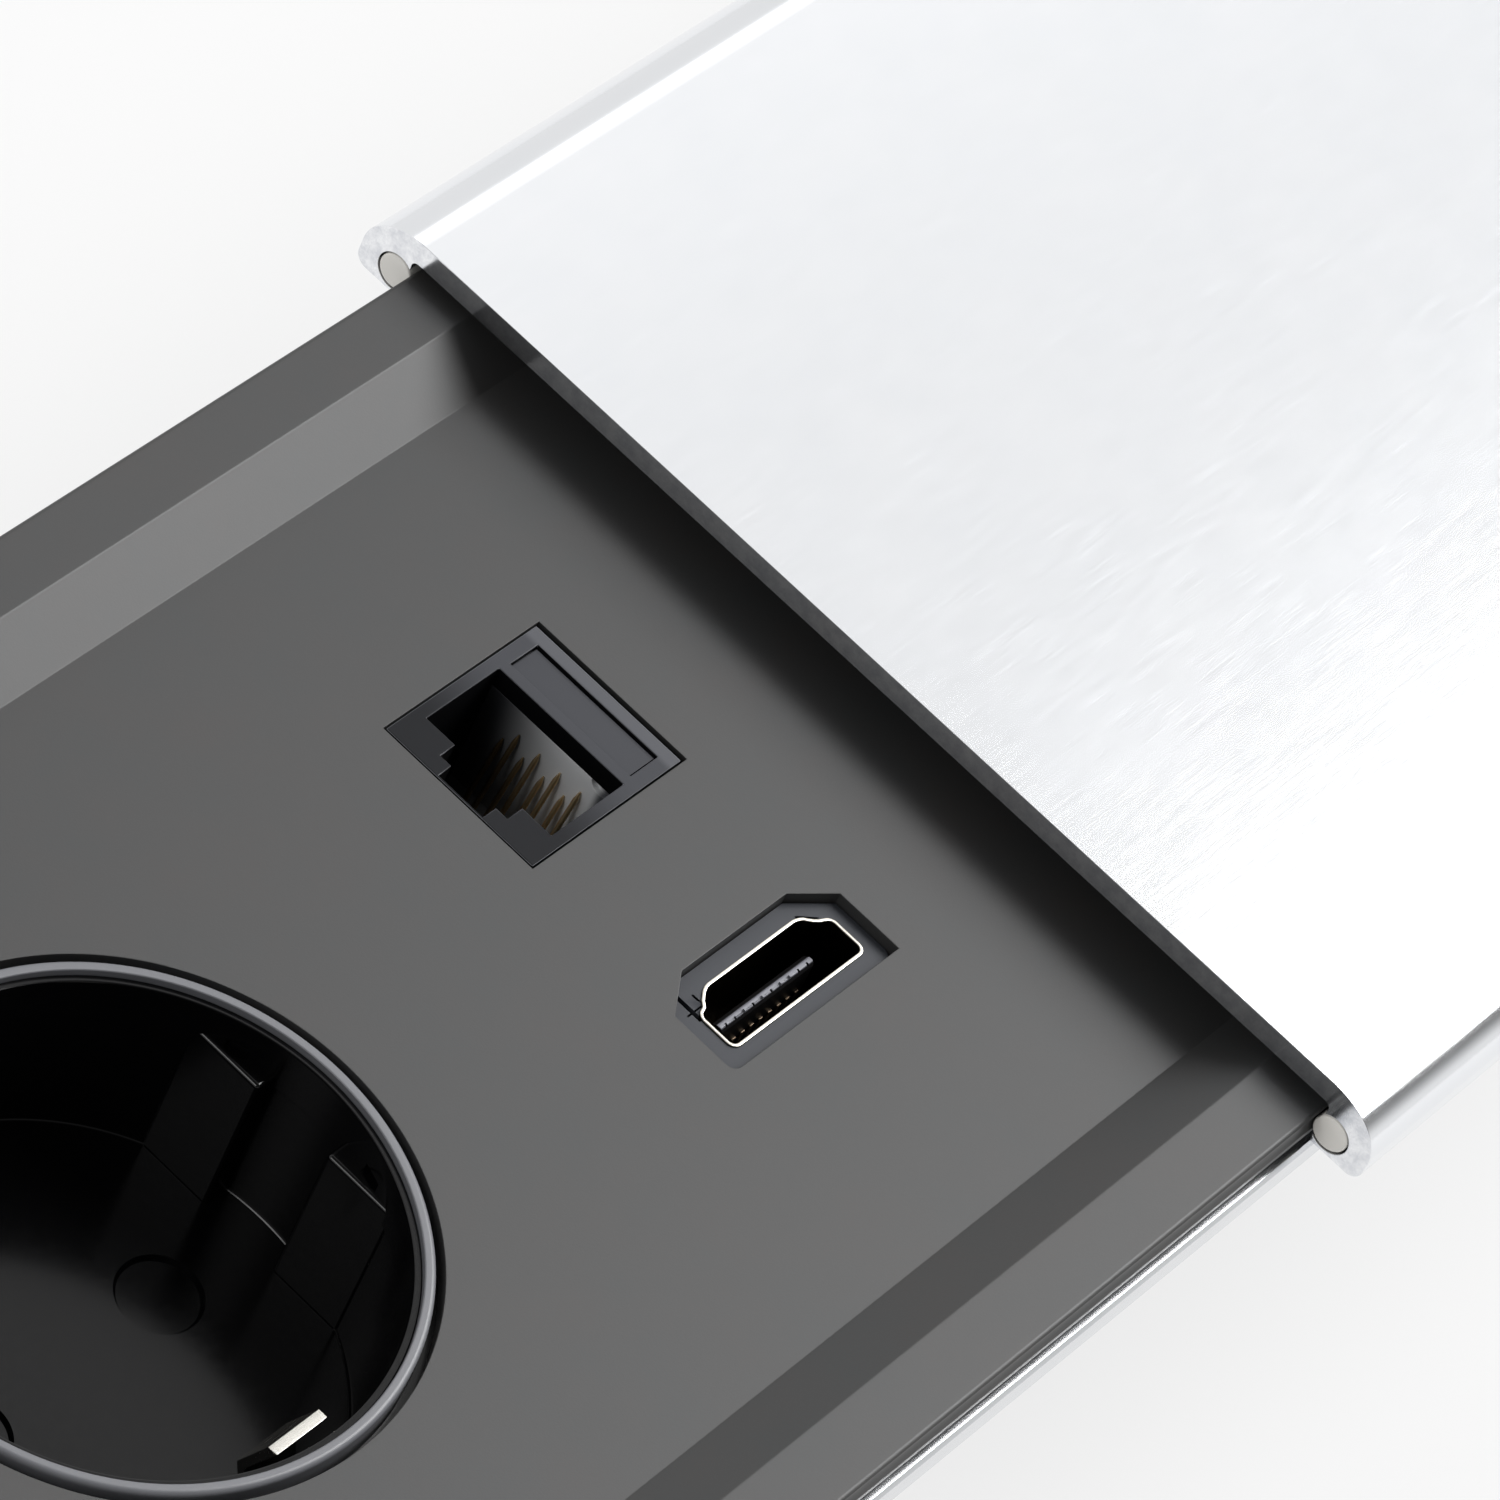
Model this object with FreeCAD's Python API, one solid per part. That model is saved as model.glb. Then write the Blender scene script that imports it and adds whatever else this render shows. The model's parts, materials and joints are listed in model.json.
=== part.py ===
import FreeCAD, Part
import math
import os

# In-desk power module: a sunk socket strip with a sliding aluminium cover.
# Lengths are in millimetres. +X runs along the strip towards the open cover,
# +Y is left when looking along +X, and Z = 0 is the flat underside of the housing.

# Places along the strip
PORTS_FROM_TRAY_END = 65.0
SOCKET_BEHIND_PORTS = 53.5
SOCKET_LAND = 8.0
INSERT_SPACING = 3.0
SCREW_ZONE = 11.0
END_CAP_THICKNESS = 3.0

# Socket tray, section across the strip
FACE_ABOVE_DESK = 4.2
FACE_THICKNESS = 2.0
RECESS_DEPTH = 2.5
SLOPE_RUN = 4.6
FLANGE_WIDTH = 5.3
FLANGE_THICKNESS = 2.9
SLOPE_THICKNESS_SHIFT = 0.8
TRAY_EDGE_ROUND = 0.4

# Sliding cover, section across the strip
COVER_GUIDE_GAP = 0.3
COVER_SIDE_BAR = 4.5
COVER_PLATE = 2.0
COVER_OVER_FLANGE = 1.0
COVER_SIDE_HEIGHT = 6.2
SHOULDER_WIDTH = 5.0
SHOULDER_HEIGHT = 3.0
COVER_INNER_ROUND = 0.5
COVER_EDGE_ROUND = 0.35
COVER_OPEN_X = 57.5
COVER_STOP_GAP = 0.2

# Glide rods in the cover's grooves
ROD_DIAMETER = 3.0
ROD_BELOW_FLANGE_TOP = 1.3
ROD_IN_FLANGE = 0.15
ROD_SEAT_CLEARANCE = 0.1
ROD_GUIDE_CLEARANCE = 0.15

# Side rails under the flanges
RAIL_WIDTH = 6.2
RAIL_PAST_TRAY = 0.6
RAIL_NECK_SET_BACK = 0.4
RIM_HEIGHT = 3.0
RIM_BELOW_FLANGE = 0.8
RIM_BEVEL = 0.3
RAIL_PORT_DIAMETER = 2.6
RAIL_PORT_FROM_TRAY_EDGE = 2.2
RAIL_PORT_ABOVE_DESK = 1.6
LOCATING_RIB_WIDTH = 0.8
LOCATING_RIB_DEPTH = 0.8
LOCATING_RIB_FROM_TRAY_EDGE = 4.9
LOCATING_RIB_CLEARANCE = 0.1

# End caps
PEG_LENGTH = 8.0
PEG_CLEARANCE = 0.05
LOW_CAP_ROD_CLEARANCE = 0.35

# Stop block under the cover
STOP_BLOCK_LENGTH = 6.0
STOP_BLOCK_WIDTH = 30.0
STOP_ABOVE_FACE = 0.8
BUFFER_THICKNESS = 1.0
BUFFER_MARGIN = 1.0
STOP_BLOCK_ROUND = 0.8

# Places of the ports across the strip
JACK_Y = 11.15
HDMI_Y = -12.65

# Mains socket
WELL_DIAMETER = 40.0
RING_WIDTH = 1.15
RING_GAP = 0.65
WELL_DEPTH = 17.0
WELL_WALL = 1.2
WELL_FLOOR = 2.5
RING_HEIGHT = 3.3
RING_PROUD = 0.3
RING_SEAT_CLEARANCE = 0.1
INSERT_BESIDE_WELL = 7.0
INSERT_PLATE_THICKNESS = 2.5
INSERT_PLATE_ROUND = 3.0
PIN_SPACING = 19.0
PIN_HOLE_DIAMETER = 6.0
SHOULDER_REACH = 2.5
SHOULDER_INNER_Y = 3.3
SHOULDER_OUTER_Y = 9.7
SHOULDER_BELOW_RIM = 3.0
SHOULDER_SINK = 0.3

# Spring earth clip
CLIP_THICKNESS = 0.8
CLIP_WIDTH = 5.0
CLIP_FROM_WALL = 1.4
CLIP_STRAIGHT = 7.5
CLIP_BOW = 2.4
CLIP_THROAT_BELOW_TIP = 3.7
CLIP_TIP_BOW = 0.8
CLIP_BELOW_FACE = 3.5
CLIP_SLOT_MARGIN = 0.8

# Snap hooks of the tray that hold the inserts' plates
SNAP_THICKNESS = 1.4
SNAP_WIDTH = 6.0
SNAP_CLEARANCE = 0.1
SNAP_CATCH = 0.8
SNAP_NOSE_HEIGHT = 1.8
SNAP_PAIR_SPACING = 28.0
SNAP_ROOM = 2.5

# Brass rails under the sockets
SLEEVE_OUTER_DIAMETER = 6.4
SLEEVE_BORE = 5.0
SLEEVE_LENGTH = 11.0
SLEEVE_BELOW_FLOOR = 0.2
RAIL_STRIP_THICKNESS = 1.0
RAIL_STRIP_HEIGHT = 7.0
RAIL_STRIP_Y = 5.5
RAIL_TAB_WIDTH = 3.0
EARTH_STRIP_FROM_CLIP = 2.1
EARTH_STRIP_WIDTH = 5.0
EARTH_STRIP_THICKNESS = 0.8
RAIL_POCKET_CLEARANCE = 0.3

# Moulded contact base
BASE_PAST_WELL = 2.0
BASE_BESIDE_EARTH_STRIP = 1.0
BASE_HEIGHT = 13.4

# Terminal block
TERMINAL_LENGTH = 16.0
TERMINAL_HEIGHT = 16.0
TERMINAL_GAP = 0.6
TERMINAL_MARGIN = 5.5
TERMINAL_WIRE_ENTRY = 5.0
TERMINAL_SCREW_DIAMETER = 4.0
TERMINAL_SCREW_BORE = 4.2
TERMINAL_SCREW_LENGTH = 6.0
TERMINAL_SCREW_SUNK = 1.5
TERMINAL_SCREW_SLOT = 0.8
TERMINAL_ENTRY = 6.0
TERMINAL_SCREW_FROM_END = 5.0

# Network jack
JACK_SIDE_WALL = 1.05
JACK_BODY_DEPTH = 20.0
JACK_WINDOW_CLEARANCE = 0.15
JACK_HOOK_GAP = 0.45
JACK_STEP_DEPTH = 10.0
JACK_STEP = 1.2
JACK_OPENING_LENGTH = 7.85
JACK_OPENING_WIDTH = 12.4
JACK_OPENING_DEPTH = 14.0
LATCH_NOTCH_WIDTH = 6.65
LATCH_NOTCH_DEPTH = 1.6
LATCH_SLOT_WIDTH = 4.4
LATCH_SLOT_DEPTH = 3.0
LATCH_SLOT_WALL = 0.175
LABEL_LENGTH = 3.0
LABEL_INSIDE_OPENING = 0.2
LABEL_DEPTH = 0.3
LABEL_FROM_OPENING = 0.975
LABEL_FROM_EDGE = 1.2
JACK_RIM = 2.0
CARRIER_WALL = 1.0
CARRIER_DEPTH = 10.5
JACK_CONTACT_PITCH = 1.02
JACK_CONTACT_COUNT = 8
JACK_CONTACT_SIZE = 0.5
JACK_CONTACT_TOP = 3.9
JACK_CONTACT_LOW_TOP = 5.5
JACK_CONTACT_SLANT = 0.246
JACK_HOOK_REACH = 1.2
JACK_HOOK_WIDTH = 8.0
JACK_HOOK_HEIGHT = 2.3
JACK_LATCH_WIDTH = 6.0
JACK_NOSE_BELOW_TRAY = 0.2
REAR_CAP_HEIGHT = 13.0
REAR_CAP_INSET = 0.6
REAR_CAP_NOTCH = 6.0

# Frame under the jack's window
KEYSTONE_WALL = 1.6
KEYSTONE_LEDGE = 0.9
KEYSTONE_LEDGE_THICKNESS = 1.2
KEYSTONE_CLEARANCE = 0.3

# HDMI port
HDMI_WINDOW_LENGTH = 18.2
HDMI_WINDOW_WIDTH = 8.1
HDMI_WINDOW_CHAMFER_X = 3.35
HDMI_WINDOW_CHAMFER_Y = 2.35
HDMI_WINDOW_ROUND = 0.8
HDMI_CLEARANCE = 0.1
HDMI_RECESS = 1.0
SURROUND_PLATE_LENGTH = 26.0
SURROUND_PLATE_WIDTH = 13.0
SURROUND_PLATE_THICKNESS = 2.5
SURROUND_SEAM_WIDTH = 0.35
SURROUND_SEAM_DEPTH = 0.6
SURROUND_SEAM_Y = 1.1
SHELL_LENGTH = 15.0
SHELL_WIDTH = 5.1
SHELL_SIDE_HEIGHT = 3.6
SHELL_TOP_LENGTH = 11.2
SHELL_SHEET = 0.45
SHELL_ROUND = 0.5
SHELL_PROUD = 0.15
SHELL_DEPTH = 12.0
TONGUE_LENGTH = 10.2
TONGUE_THICKNESS = 1.0
TONGUE_BELOW_RIM = 2.0
TONGUE_Y = 0.1
CONTACT_STRIP_PITCH = 1.0
CONTACT_STRIP_COUNTS = (10, 9)
CONTACT_STRIP_WIDTH = 0.45
CONTACT_STRIP_THICKNESS = 0.15
CONTACT_STRIP_TIP = 0.3
HDMI_BODY_LENGTH = 19.0
HDMI_BODY_WIDTH = 11.0
HDMI_BODY_HEIGHT = 22.0
HDMI_BODY_ROUND = 1.0

# Lower housing
HOUSING_END_GAP = 1.0
HOUSING_INSIDE_FACE = 2.5
HOUSING_WALL = 2.0
HOUSING_FLOOR = 2.0
HOUSING_CORNER = 4.0
HOUSING_LIP_REACH = 3.5
HOUSING_LIP_THICKNESS = 2.0
HOUSING_RIB_THICKNESS = 1.6
BAY_RIB_HEIGHT = 3.0
BAY_RIB_COUNT = 2
ROOT_DEPTH = 1.0

# Screws between housing and tray
BOSS_INSET = 6.0
BOSS_OUTER_DIAMETER = 7.0
TRAY_BOSS_DIAMETER = 6.0
TRAY_BOSS_LENGTH = 11.0
SCREW_SHANK_DIAMETER = 3.0
SCREW_HEAD_DIAMETER = 5.2
SCREW_HEAD_HEIGHT = 2.0
SCREW_ENGAGEMENT = 7.0
SCREW_SEAT_THICKNESS = 3.0
SCREW_HOLE_CLEARANCE = 0.4
SCREW_HEAD_CLEARANCE = 0.5
SCREW_BITE_CLEARANCE = 0.05
SCREW_SOCKET = 2.5
SCREW_SOCKET_DEPTH = 1.2

# Brackets that hold the module under the desk top
DESK_THICKNESS = 19.0
BRACKET_SHEET = 1.5
BRACKET_WIDTH = 22.0
BRACKET_LEG_LENGTH = 16.2
BRACKET_FOOT_LENGTH = 23.0
BRACKET_HOLE_DIAMETER = 4.5
BRACKET_HOLE_SPACING = 12.0
BRACKET_HOLE_FROM_WALL = 15.0
BRACKET_BEND_RADIUS = 1.0
BRACKET_CORNER = 2.0
BRACKET_SLOT_LENGTH = 10.0
BRACKET_SCREW_ABOVE_FOOT = 8.2
BRACKET_ABOVE_OUTLETS = 1.55
BRACKET_SCREW_DIAMETER = 4.0
BRACKET_SCREW_HEAD = 7.0
BRACKET_SCREW_HEAD_HEIGHT = 2.6
BRACKET_SCREW_REACH = 7.0
WASHER_DIAMETER = 9.0
WASHER_THICKNESS = 0.8
THREAD_INSERT_HEX = 6.0
THREAD_INSERT_LENGTH = 6.0
THREAD_BOSS_DIAMETER = 9.0
THREAD_BOSS_LENGTH = 6.5

# Mains inlet and data outlet in the right end wall
NUT_ABOVE_FLOOR = 0.5
GLAND_BESIDE_BOSS = 0.84
GLAND_BORE = 8.0
GLAND_THREAD_DIAMETER = 12.0
GLAND_HEX = 13.5
GLAND_HEX_LENGTH = 3.0
GLAND_DOME_DIAMETER = 12.5
GLAND_MOUTH_DIAMETER = 10.0
GLAND_DOME_LENGTH = 8.0
GLAND_NUT_HEX = 15.0
GLAND_NUT_THICKNESS = 3.0
GLAND_THREAD_LENGTH = 6.0
GROMMET_BESIDE_BOSS = 2.25
GROMMET_BORE = 7.0
GROMMET_NECK_DIAMETER = 11.0
GROMMET_FLANGE_DIAMETER = 14.5
GROMMET_FLANGE = 1.8
WALL_HOLE_CLEARANCE = 0.1

# Sizes worked out from those above
SOCKET_PITCH = WELL_DIAMETER + SOCKET_LAND
INSERT_PLATE_LENGTH = SOCKET_PITCH - INSERT_SPACING
TRAY_LENGTH = SCREW_ZONE + INSERT_PLATE_LENGTH / 2 + SOCKET_PITCH + SOCKET_BEHIND_PORTS + PORTS_FROM_TRAY_END
TRAY_END = TRAY_LENGTH / 2
STRIP_END = TRAY_END + END_CAP_THICKNESS
PORT_ROW_X = TRAY_END - PORTS_FROM_TRAY_END
OUTLET_Z = HOUSING_FLOOR + NUT_ABOVE_FLOOR + GLAND_NUT_HEX / 2
BRACKET_FOOT_BOTTOM = OUTLET_Z + GLAND_HEX / 2 + BRACKET_ABOVE_OUTLETS
DESK_UNDERSIDE = BRACKET_FOOT_BOTTOM + BRACKET_SHEET
FACE_HEIGHT = DESK_UNDERSIDE + DESK_THICKNESS + FACE_ABOVE_DESK
FACE_BOTTOM = FACE_HEIGHT - FACE_THICKNESS
FLANGE_TOP = FACE_HEIGHT + RECESS_DEPTH
FLANGE_BOTTOM = FLANGE_TOP - FLANGE_THICKNESS
WELL_RADIUS = WELL_DIAMETER / 2
INSERT_PLATE_WIDTH = WELL_DIAMETER + 2 * INSERT_BESIDE_WELL
INNER_HALF = INSERT_PLATE_WIDTH / 2 + SNAP_CLEARANCE + SNAP_THICKNESS + SNAP_ROOM
HOUSING_HALF = INNER_HALF + HOUSING_WALL
FACE_HALF = HOUSING_HALF + HOUSING_INSIDE_FACE
SLOPE_TOP_HALF = FACE_HALF + SLOPE_RUN
TRAY_HALF = SLOPE_TOP_HALF + FLANGE_WIDTH

COVER_LENGTH = TRAY_LENGTH + END_CAP_THICKNESS
COVER_END_X = COVER_OPEN_X + COVER_LENGTH
CHANNEL_HALF = TRAY_HALF + COVER_GUIDE_GAP
COVER_HALF = CHANNEL_HALF + COVER_SIDE_BAR
COVER_UNDERSIDE = FLANGE_TOP + COVER_OVER_FLANGE
COVER_TOP = COVER_UNDERSIDE + COVER_PLATE
COVER_BOTTOM = COVER_TOP - COVER_SIDE_HEIGHT

ROD_RADIUS = ROD_DIAMETER / 2
ROD_Y = TRAY_HALF - ROD_IN_FLANGE + ROD_RADIUS
ROD_Z = FLANGE_TOP - ROD_BELOW_FLANGE_TOP

RIM_TOP = FLANGE_BOTTOM - RIM_BELOW_FLANGE
DESK_SURFACE = RIM_TOP - RIM_HEIGHT
RIM_HALF = TRAY_HALF + RAIL_PAST_TRAY
RAIL_INNER = RIM_HALF - RAIL_WIDTH
RAIL_NECK = TRAY_HALF - RAIL_NECK_SET_BACK
RAIL_PORT_Y = TRAY_HALF - RAIL_PORT_FROM_TRAY_EDGE
RAIL_PORT_Z = DESK_SURFACE + RAIL_PORT_ABOVE_DESK
RIB_OUTER = TRAY_HALF - LOCATING_RIB_FROM_TRAY_EDGE + LOCATING_RIB_WIDTH
RIB_INNER = RIB_OUTER - LOCATING_RIB_WIDTH

STOP_FACE_X = TRAY_END - COVER_STOP_GAP
STOP_BOTTOM = FACE_HEIGHT + STOP_ABOVE_FACE

SOCKET_XS = (PORT_ROW_X - SOCKET_BEHIND_PORTS, PORT_ROW_X - SOCKET_BEHIND_PORTS - SOCKET_PITCH)
RING_RADIUS = WELL_RADIUS + RING_WIDTH
RING_TOP = FACE_HEIGHT + RING_PROUD
RING_BOTTOM = RING_TOP - RING_HEIGHT
WELL_FLOOR_TOP = FACE_HEIGHT - WELL_DEPTH
WELL_FLOOR_BOTTOM = WELL_FLOOR_TOP - WELL_FLOOR
PIN_OFFSET = PIN_SPACING / 2
INSERT_PLATE_BOTTOM = FACE_BOTTOM - INSERT_PLATE_THICKNESS

CLIP_BOTTOM = WELL_FLOOR_BOTTOM - CLIP_THICKNESS
CLIP_TOP = FACE_HEIGHT - CLIP_BELOW_FACE
CLIP_REACH = WELL_RADIUS - CLIP_FROM_WALL
EARTH_STRIP_Y = CLIP_REACH - EARTH_STRIP_FROM_CLIP
BASE_HALF = EARTH_STRIP_Y + EARTH_STRIP_WIDTH / 2 + BASE_BESIDE_EARTH_STRIP
BASE_TOP = CLIP_BOTTOM
BASE_BOTTOM = BASE_TOP - BASE_HEIGHT
BASE_START = SOCKET_XS[-1] - WELL_RADIUS - BASE_PAST_WELL
BASE_END = SOCKET_XS[0] + WELL_RADIUS + BASE_PAST_WELL
SLEEVE_TOP = WELL_FLOOR_BOTTOM - SLEEVE_BELOW_FLOOR
SLEEVE_BOTTOM = SLEEVE_TOP - SLEEVE_LENGTH
STRIP_BOTTOM = SLEEVE_BOTTOM
STRIP_TOP = STRIP_BOTTOM + RAIL_STRIP_HEIGHT

TERMINAL_START = BASE_END + TERMINAL_GAP
TERMINAL_END = TERMINAL_START + TERMINAL_LENGTH
TERMINAL_TOP = BASE_BOTTOM + TERMINAL_HEIGHT
RAIL_STRIP_END = TERMINAL_START + TERMINAL_ENTRY
POLE_YS = (-RAIL_STRIP_Y, RAIL_STRIP_Y, EARTH_STRIP_Y)
POLE_Z = STRIP_BOTTOM + RAIL_STRIP_HEIGHT / 2

JACK_LENGTH = (LATCH_SLOT_WALL + LATCH_SLOT_DEPTH + JACK_OPENING_LENGTH + LABEL_FROM_OPENING
               + LABEL_LENGTH + LABEL_FROM_EDGE)
JACK_WIDTH = JACK_OPENING_WIDTH + 2 * JACK_SIDE_WALL
JACK_OPENING_START = PORT_ROW_X - JACK_LENGTH / 2 + LATCH_SLOT_WALL + LATCH_SLOT_DEPTH
JACK_OPENING_END = JACK_OPENING_START + JACK_OPENING_LENGTH
LABEL_START = JACK_OPENING_END + LABEL_FROM_OPENING
LABEL_WIDTH = JACK_OPENING_WIDTH - 2 * LABEL_INSIDE_OPENING
JACK_BOTTOM = FACE_HEIGHT - JACK_BODY_DEPTH
JACK_STEP_Z = FACE_HEIGHT - JACK_STEP_DEPTH
NOSE_TOP = FACE_BOTTOM - JACK_NOSE_BELOW_TRAY
SURROUND_TOP = FACE_HEIGHT - HDMI_RECESS
SURROUND_PLATE_BOTTOM = FACE_BOTTOM - SURROUND_PLATE_THICKNESS
SHELL_TOP = SURROUND_TOP + SHELL_PROUD
SHELL_BOTTOM = SHELL_TOP - SHELL_DEPTH
TONGUE_TOP = SHELL_TOP - TONGUE_BELOW_RIM

HOUSING_END = TRAY_END - HOUSING_END_GAP
INNER_END = HOUSING_END - HOUSING_WALL
BOSS_INNER_Y = HOUSING_HALF - BOSS_INSET - BOSS_OUTER_DIAMETER / 2
GLAND_Y = BOSS_INNER_Y - GLAND_BESIDE_BOSS - GLAND_NUT_HEX / math.sqrt(3)
GROMMET_Y = GROMMET_BESIDE_BOSS + GROMMET_FLANGE_DIAMETER / 2 - BOSS_INNER_Y
TRAY_BOSS_BOTTOM = FACE_BOTTOM - TRAY_BOSS_LENGTH
SCREW_SEAT = TRAY_BOSS_BOTTOM - SCREW_SEAT_THICKNESS
SCREW_TIP = TRAY_BOSS_BOTTOM + SCREW_ENGAGEMENT
BRACKET_TOP = DESK_UNDERSIDE + BRACKET_LEG_LENGTH
BRACKET_SCREW_Z = DESK_UNDERSIDE + BRACKET_SCREW_ABOVE_FOOT

ALONG_X = FreeCAD.Vector(1, 0, 0)
ALONG_Y = FreeCAD.Vector(0, 1, 0)
UP = FreeCAD.Vector(0, 0, 1)
ORIGIN = FreeCAD.Vector(0, 0, 0)
OVERCUT = 1.0
SAME_PLACE = 1e-4
SAME_DIRECTION = 0.1


def point(x, y, z):
    return FreeCAD.Vector(x, y, z)


def span(centre, width):
    """Lowest and highest value of a width about its centre."""
    return (centre - width / 2, centre + width / 2)


def block(x_span, y_span, z_span):
    """Box between two values on each axis."""
    corner = point(x_span[0], y_span[0], z_span[0])
    return Part.makeBox(x_span[1] - x_span[0], y_span[1] - y_span[0], z_span[1] - z_span[0], corner)


def near(value, place):
    return abs(value - place) < SAME_PLACE


def edges_along(shape, direction):
    """Edges that run along an axis."""
    return [edge for edge in shape.Edges
            if edge.tangentAt(edge.FirstParameter).cross(direction).Length < SAME_DIRECTION]


def rounded_block(x_span, y_span, z_span, radius):
    """Box whose four upright edges are rounded."""
    body = block(x_span, y_span, z_span)
    return body.makeFillet(radius, edges_along(body, UP))


def post(x, y, z_span, diameter):
    """Upright cylinder between two heights."""
    return Part.makeCylinder(diameter / 2, z_span[1] - z_span[0], point(x, y, z_span[0]), UP)


def bar_along_x(x_span, y, z, diameter):
    """Cylinder that lies along the strip."""
    return Part.makeCylinder(diameter / 2, x_span[1] - x_span[0], point(x_span[0], y, z), ALONG_X)


def face_from(points):
    return Part.Face(Part.makePolygon(points + points[:1]))


def prism_x(section, x_span):
    """Section given as (y, z) points, drawn along X."""
    points = [point(x_span[0], y, z) for y, z in section]
    return face_from(points).extrude(ALONG_X * (x_span[1] - x_span[0]))


def prism_y(section, y_span):
    """Section given as (x, z) points, drawn along Y."""
    points = [point(x, y_span[0], z) for x, z in section]
    return face_from(points).extrude(ALONG_Y * (y_span[1] - y_span[0]))


def prism_z(outline, z_span):
    """Outline given as (x, y) points, drawn upwards."""
    points = [point(x, y, z_span[0]) for x, y in outline]
    return face_from(points).extrude(UP * (z_span[1] - z_span[0]))


def turned(profile, x, y):
    """Solid of revolution about an upright axis, from (radius, z) points."""
    points = [point(x + radius, y, z) for radius, z in profile]
    return face_from(points).revolve(point(x, y, 0), UP, 360)


def turned_along_x(profile, y, z):
    """Solid of revolution about an axis along X, from (x, radius) points."""
    points = [point(x, y, z + radius) for x, radius in profile]
    return face_from(points).revolve(point(0, y, z), ALONG_X, 360)


def hexagon_along_x(x_span, y, z, across_flats):
    """Hexagonal prism along X."""
    corner_radius = across_flats / math.sqrt(3)
    angles = [math.radians(60 * corner) for corner in range(6)]
    section = [(y + corner_radius * math.cos(a), z + corner_radius * math.sin(a)) for a in angles]
    return prism_x(section, x_span)


def hexagon_upright(x, y, z_span, across_flats):
    """Hexagonal prism along Z."""
    corner_radius = across_flats / math.sqrt(3)
    angles = [math.radians(60 * corner) for corner in range(6)]
    outline = [(x + corner_radius * math.cos(a), y + corner_radius * math.sin(a)) for a in angles]
    return prism_z(outline, z_span)


def mirrored_y(shape):
    """The same piece on the other side of the strip."""
    return shape.mirror(ORIGIN, ALONG_Y)


def mirrored_x(shape):
    """The same piece at the other end of the strip."""
    return shape.mirror(ORIGIN, ALONG_X)


def fused(shapes):
    """One solid made of several that touch or overlap."""
    return shapes[0].multiFuse(shapes[1:]).removeSplitter()


def edges_along_x(shape, y, z):
    """Long edges of an extrusion that run through (plus or minus y, z)."""
    return [edge for edge in edges_along(shape, ALONG_X)
            if near(abs(edge.CenterOfMass.y), y) and near(edge.CenterOfMass.z, z)]


def two_sided(half_section):
    """Full (y, z) section from the points of its left half."""
    return half_section + [(-y, z) for y, z in reversed(half_section)]


# Socket tray

def tray_profile():
    """Extrusion with sunk face, sloped walls, flanges and locating ribs."""
    rib_bottom = FLANGE_BOTTOM - LOCATING_RIB_DEPTH
    half = [
        (FACE_HALF, FACE_HEIGHT),
        (SLOPE_TOP_HALF, FLANGE_TOP),
        (TRAY_HALF, FLANGE_TOP),
        (TRAY_HALF, FLANGE_BOTTOM),
        (RIB_OUTER, FLANGE_BOTTOM),
        (RIB_OUTER, rib_bottom),
        (RIB_INNER, rib_bottom),
        (RIB_INNER, FLANGE_BOTTOM),
        (SLOPE_TOP_HALF - SLOPE_THICKNESS_SHIFT, FLANGE_BOTTOM),
        (FACE_HALF + SLOPE_THICKNESS_SHIFT, FACE_BOTTOM),
    ]
    body = prism_x(two_sided(half), (-TRAY_END, TRAY_END))
    rounds = edges_along_x(body, TRAY_HALF, FLANGE_TOP) + edges_along_x(body, SLOPE_TOP_HALF, FLANGE_TOP)
    body = body.makeFillet(TRAY_EDGE_ROUND, rounds)
    for side in (-1, 1):
        groove = bar_along_x((-TRAY_END - OVERCUT, TRAY_END + OVERCUT), side * ROD_Y, ROD_Z,
                             ROD_DIAMETER + 2 * ROD_GUIDE_CLEARANCE)
        body = body.cut(groove)
    return body


def snap_section(edge, plate_bottom):
    """Hook beside a plate's edge: (distance, z) points, with its catch under the plate."""
    inner = edge + SNAP_CLEARANCE
    outer = inner + SNAP_THICKNESS
    tip = plate_bottom - SNAP_NOSE_HEIGHT
    return [(inner, FACE_BOTTOM), (outer, FACE_BOTTOM), (outer, tip), (inner, tip),
            (inner - SNAP_CATCH, plate_bottom), (inner, plate_bottom)]


def insert_hooks(socket_x):
    """Two hooks at each long side of a socket insert's plate."""
    hooks = []
    for side_x in (-1, 1):
        place = span(socket_x + side_x * SNAP_PAIR_SPACING / 2, SNAP_WIDTH)
        hook = prism_x(snap_section(INSERT_PLATE_WIDTH / 2, INSERT_PLATE_BOTTOM), place)
        hooks += [hook, mirrored_y(hook)]
    return hooks


def surround_hooks():
    """One hook at each end of the video port's plate."""
    section = snap_section(SURROUND_PLATE_LENGTH / 2, SURROUND_PLATE_BOTTOM)
    place = span(HDMI_Y, SNAP_WIDTH)
    return [prism_y([(PORT_ROW_X + side * x, z) for x, z in section], place) for side in (-1, 1)]


def boss_places():
    """Places of the screws that join tray and housing."""
    return [(side_x * (HOUSING_END - BOSS_INSET), side_y * (HOUSING_HALF - BOSS_INSET))
            for side_x in (-1, 1) for side_y in (-1, 1)]


def jack_window():
    """Span of the jack's window along X and Y; the wider gap is on the hook side."""
    x_low = PORT_ROW_X - JACK_LENGTH / 2 - JACK_WINDOW_CLEARANCE
    x_high = PORT_ROW_X + JACK_LENGTH / 2 + JACK_HOOK_GAP
    return (x_low, x_high), span(JACK_Y, JACK_WIDTH + 2 * JACK_WINDOW_CLEARANCE)


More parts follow.
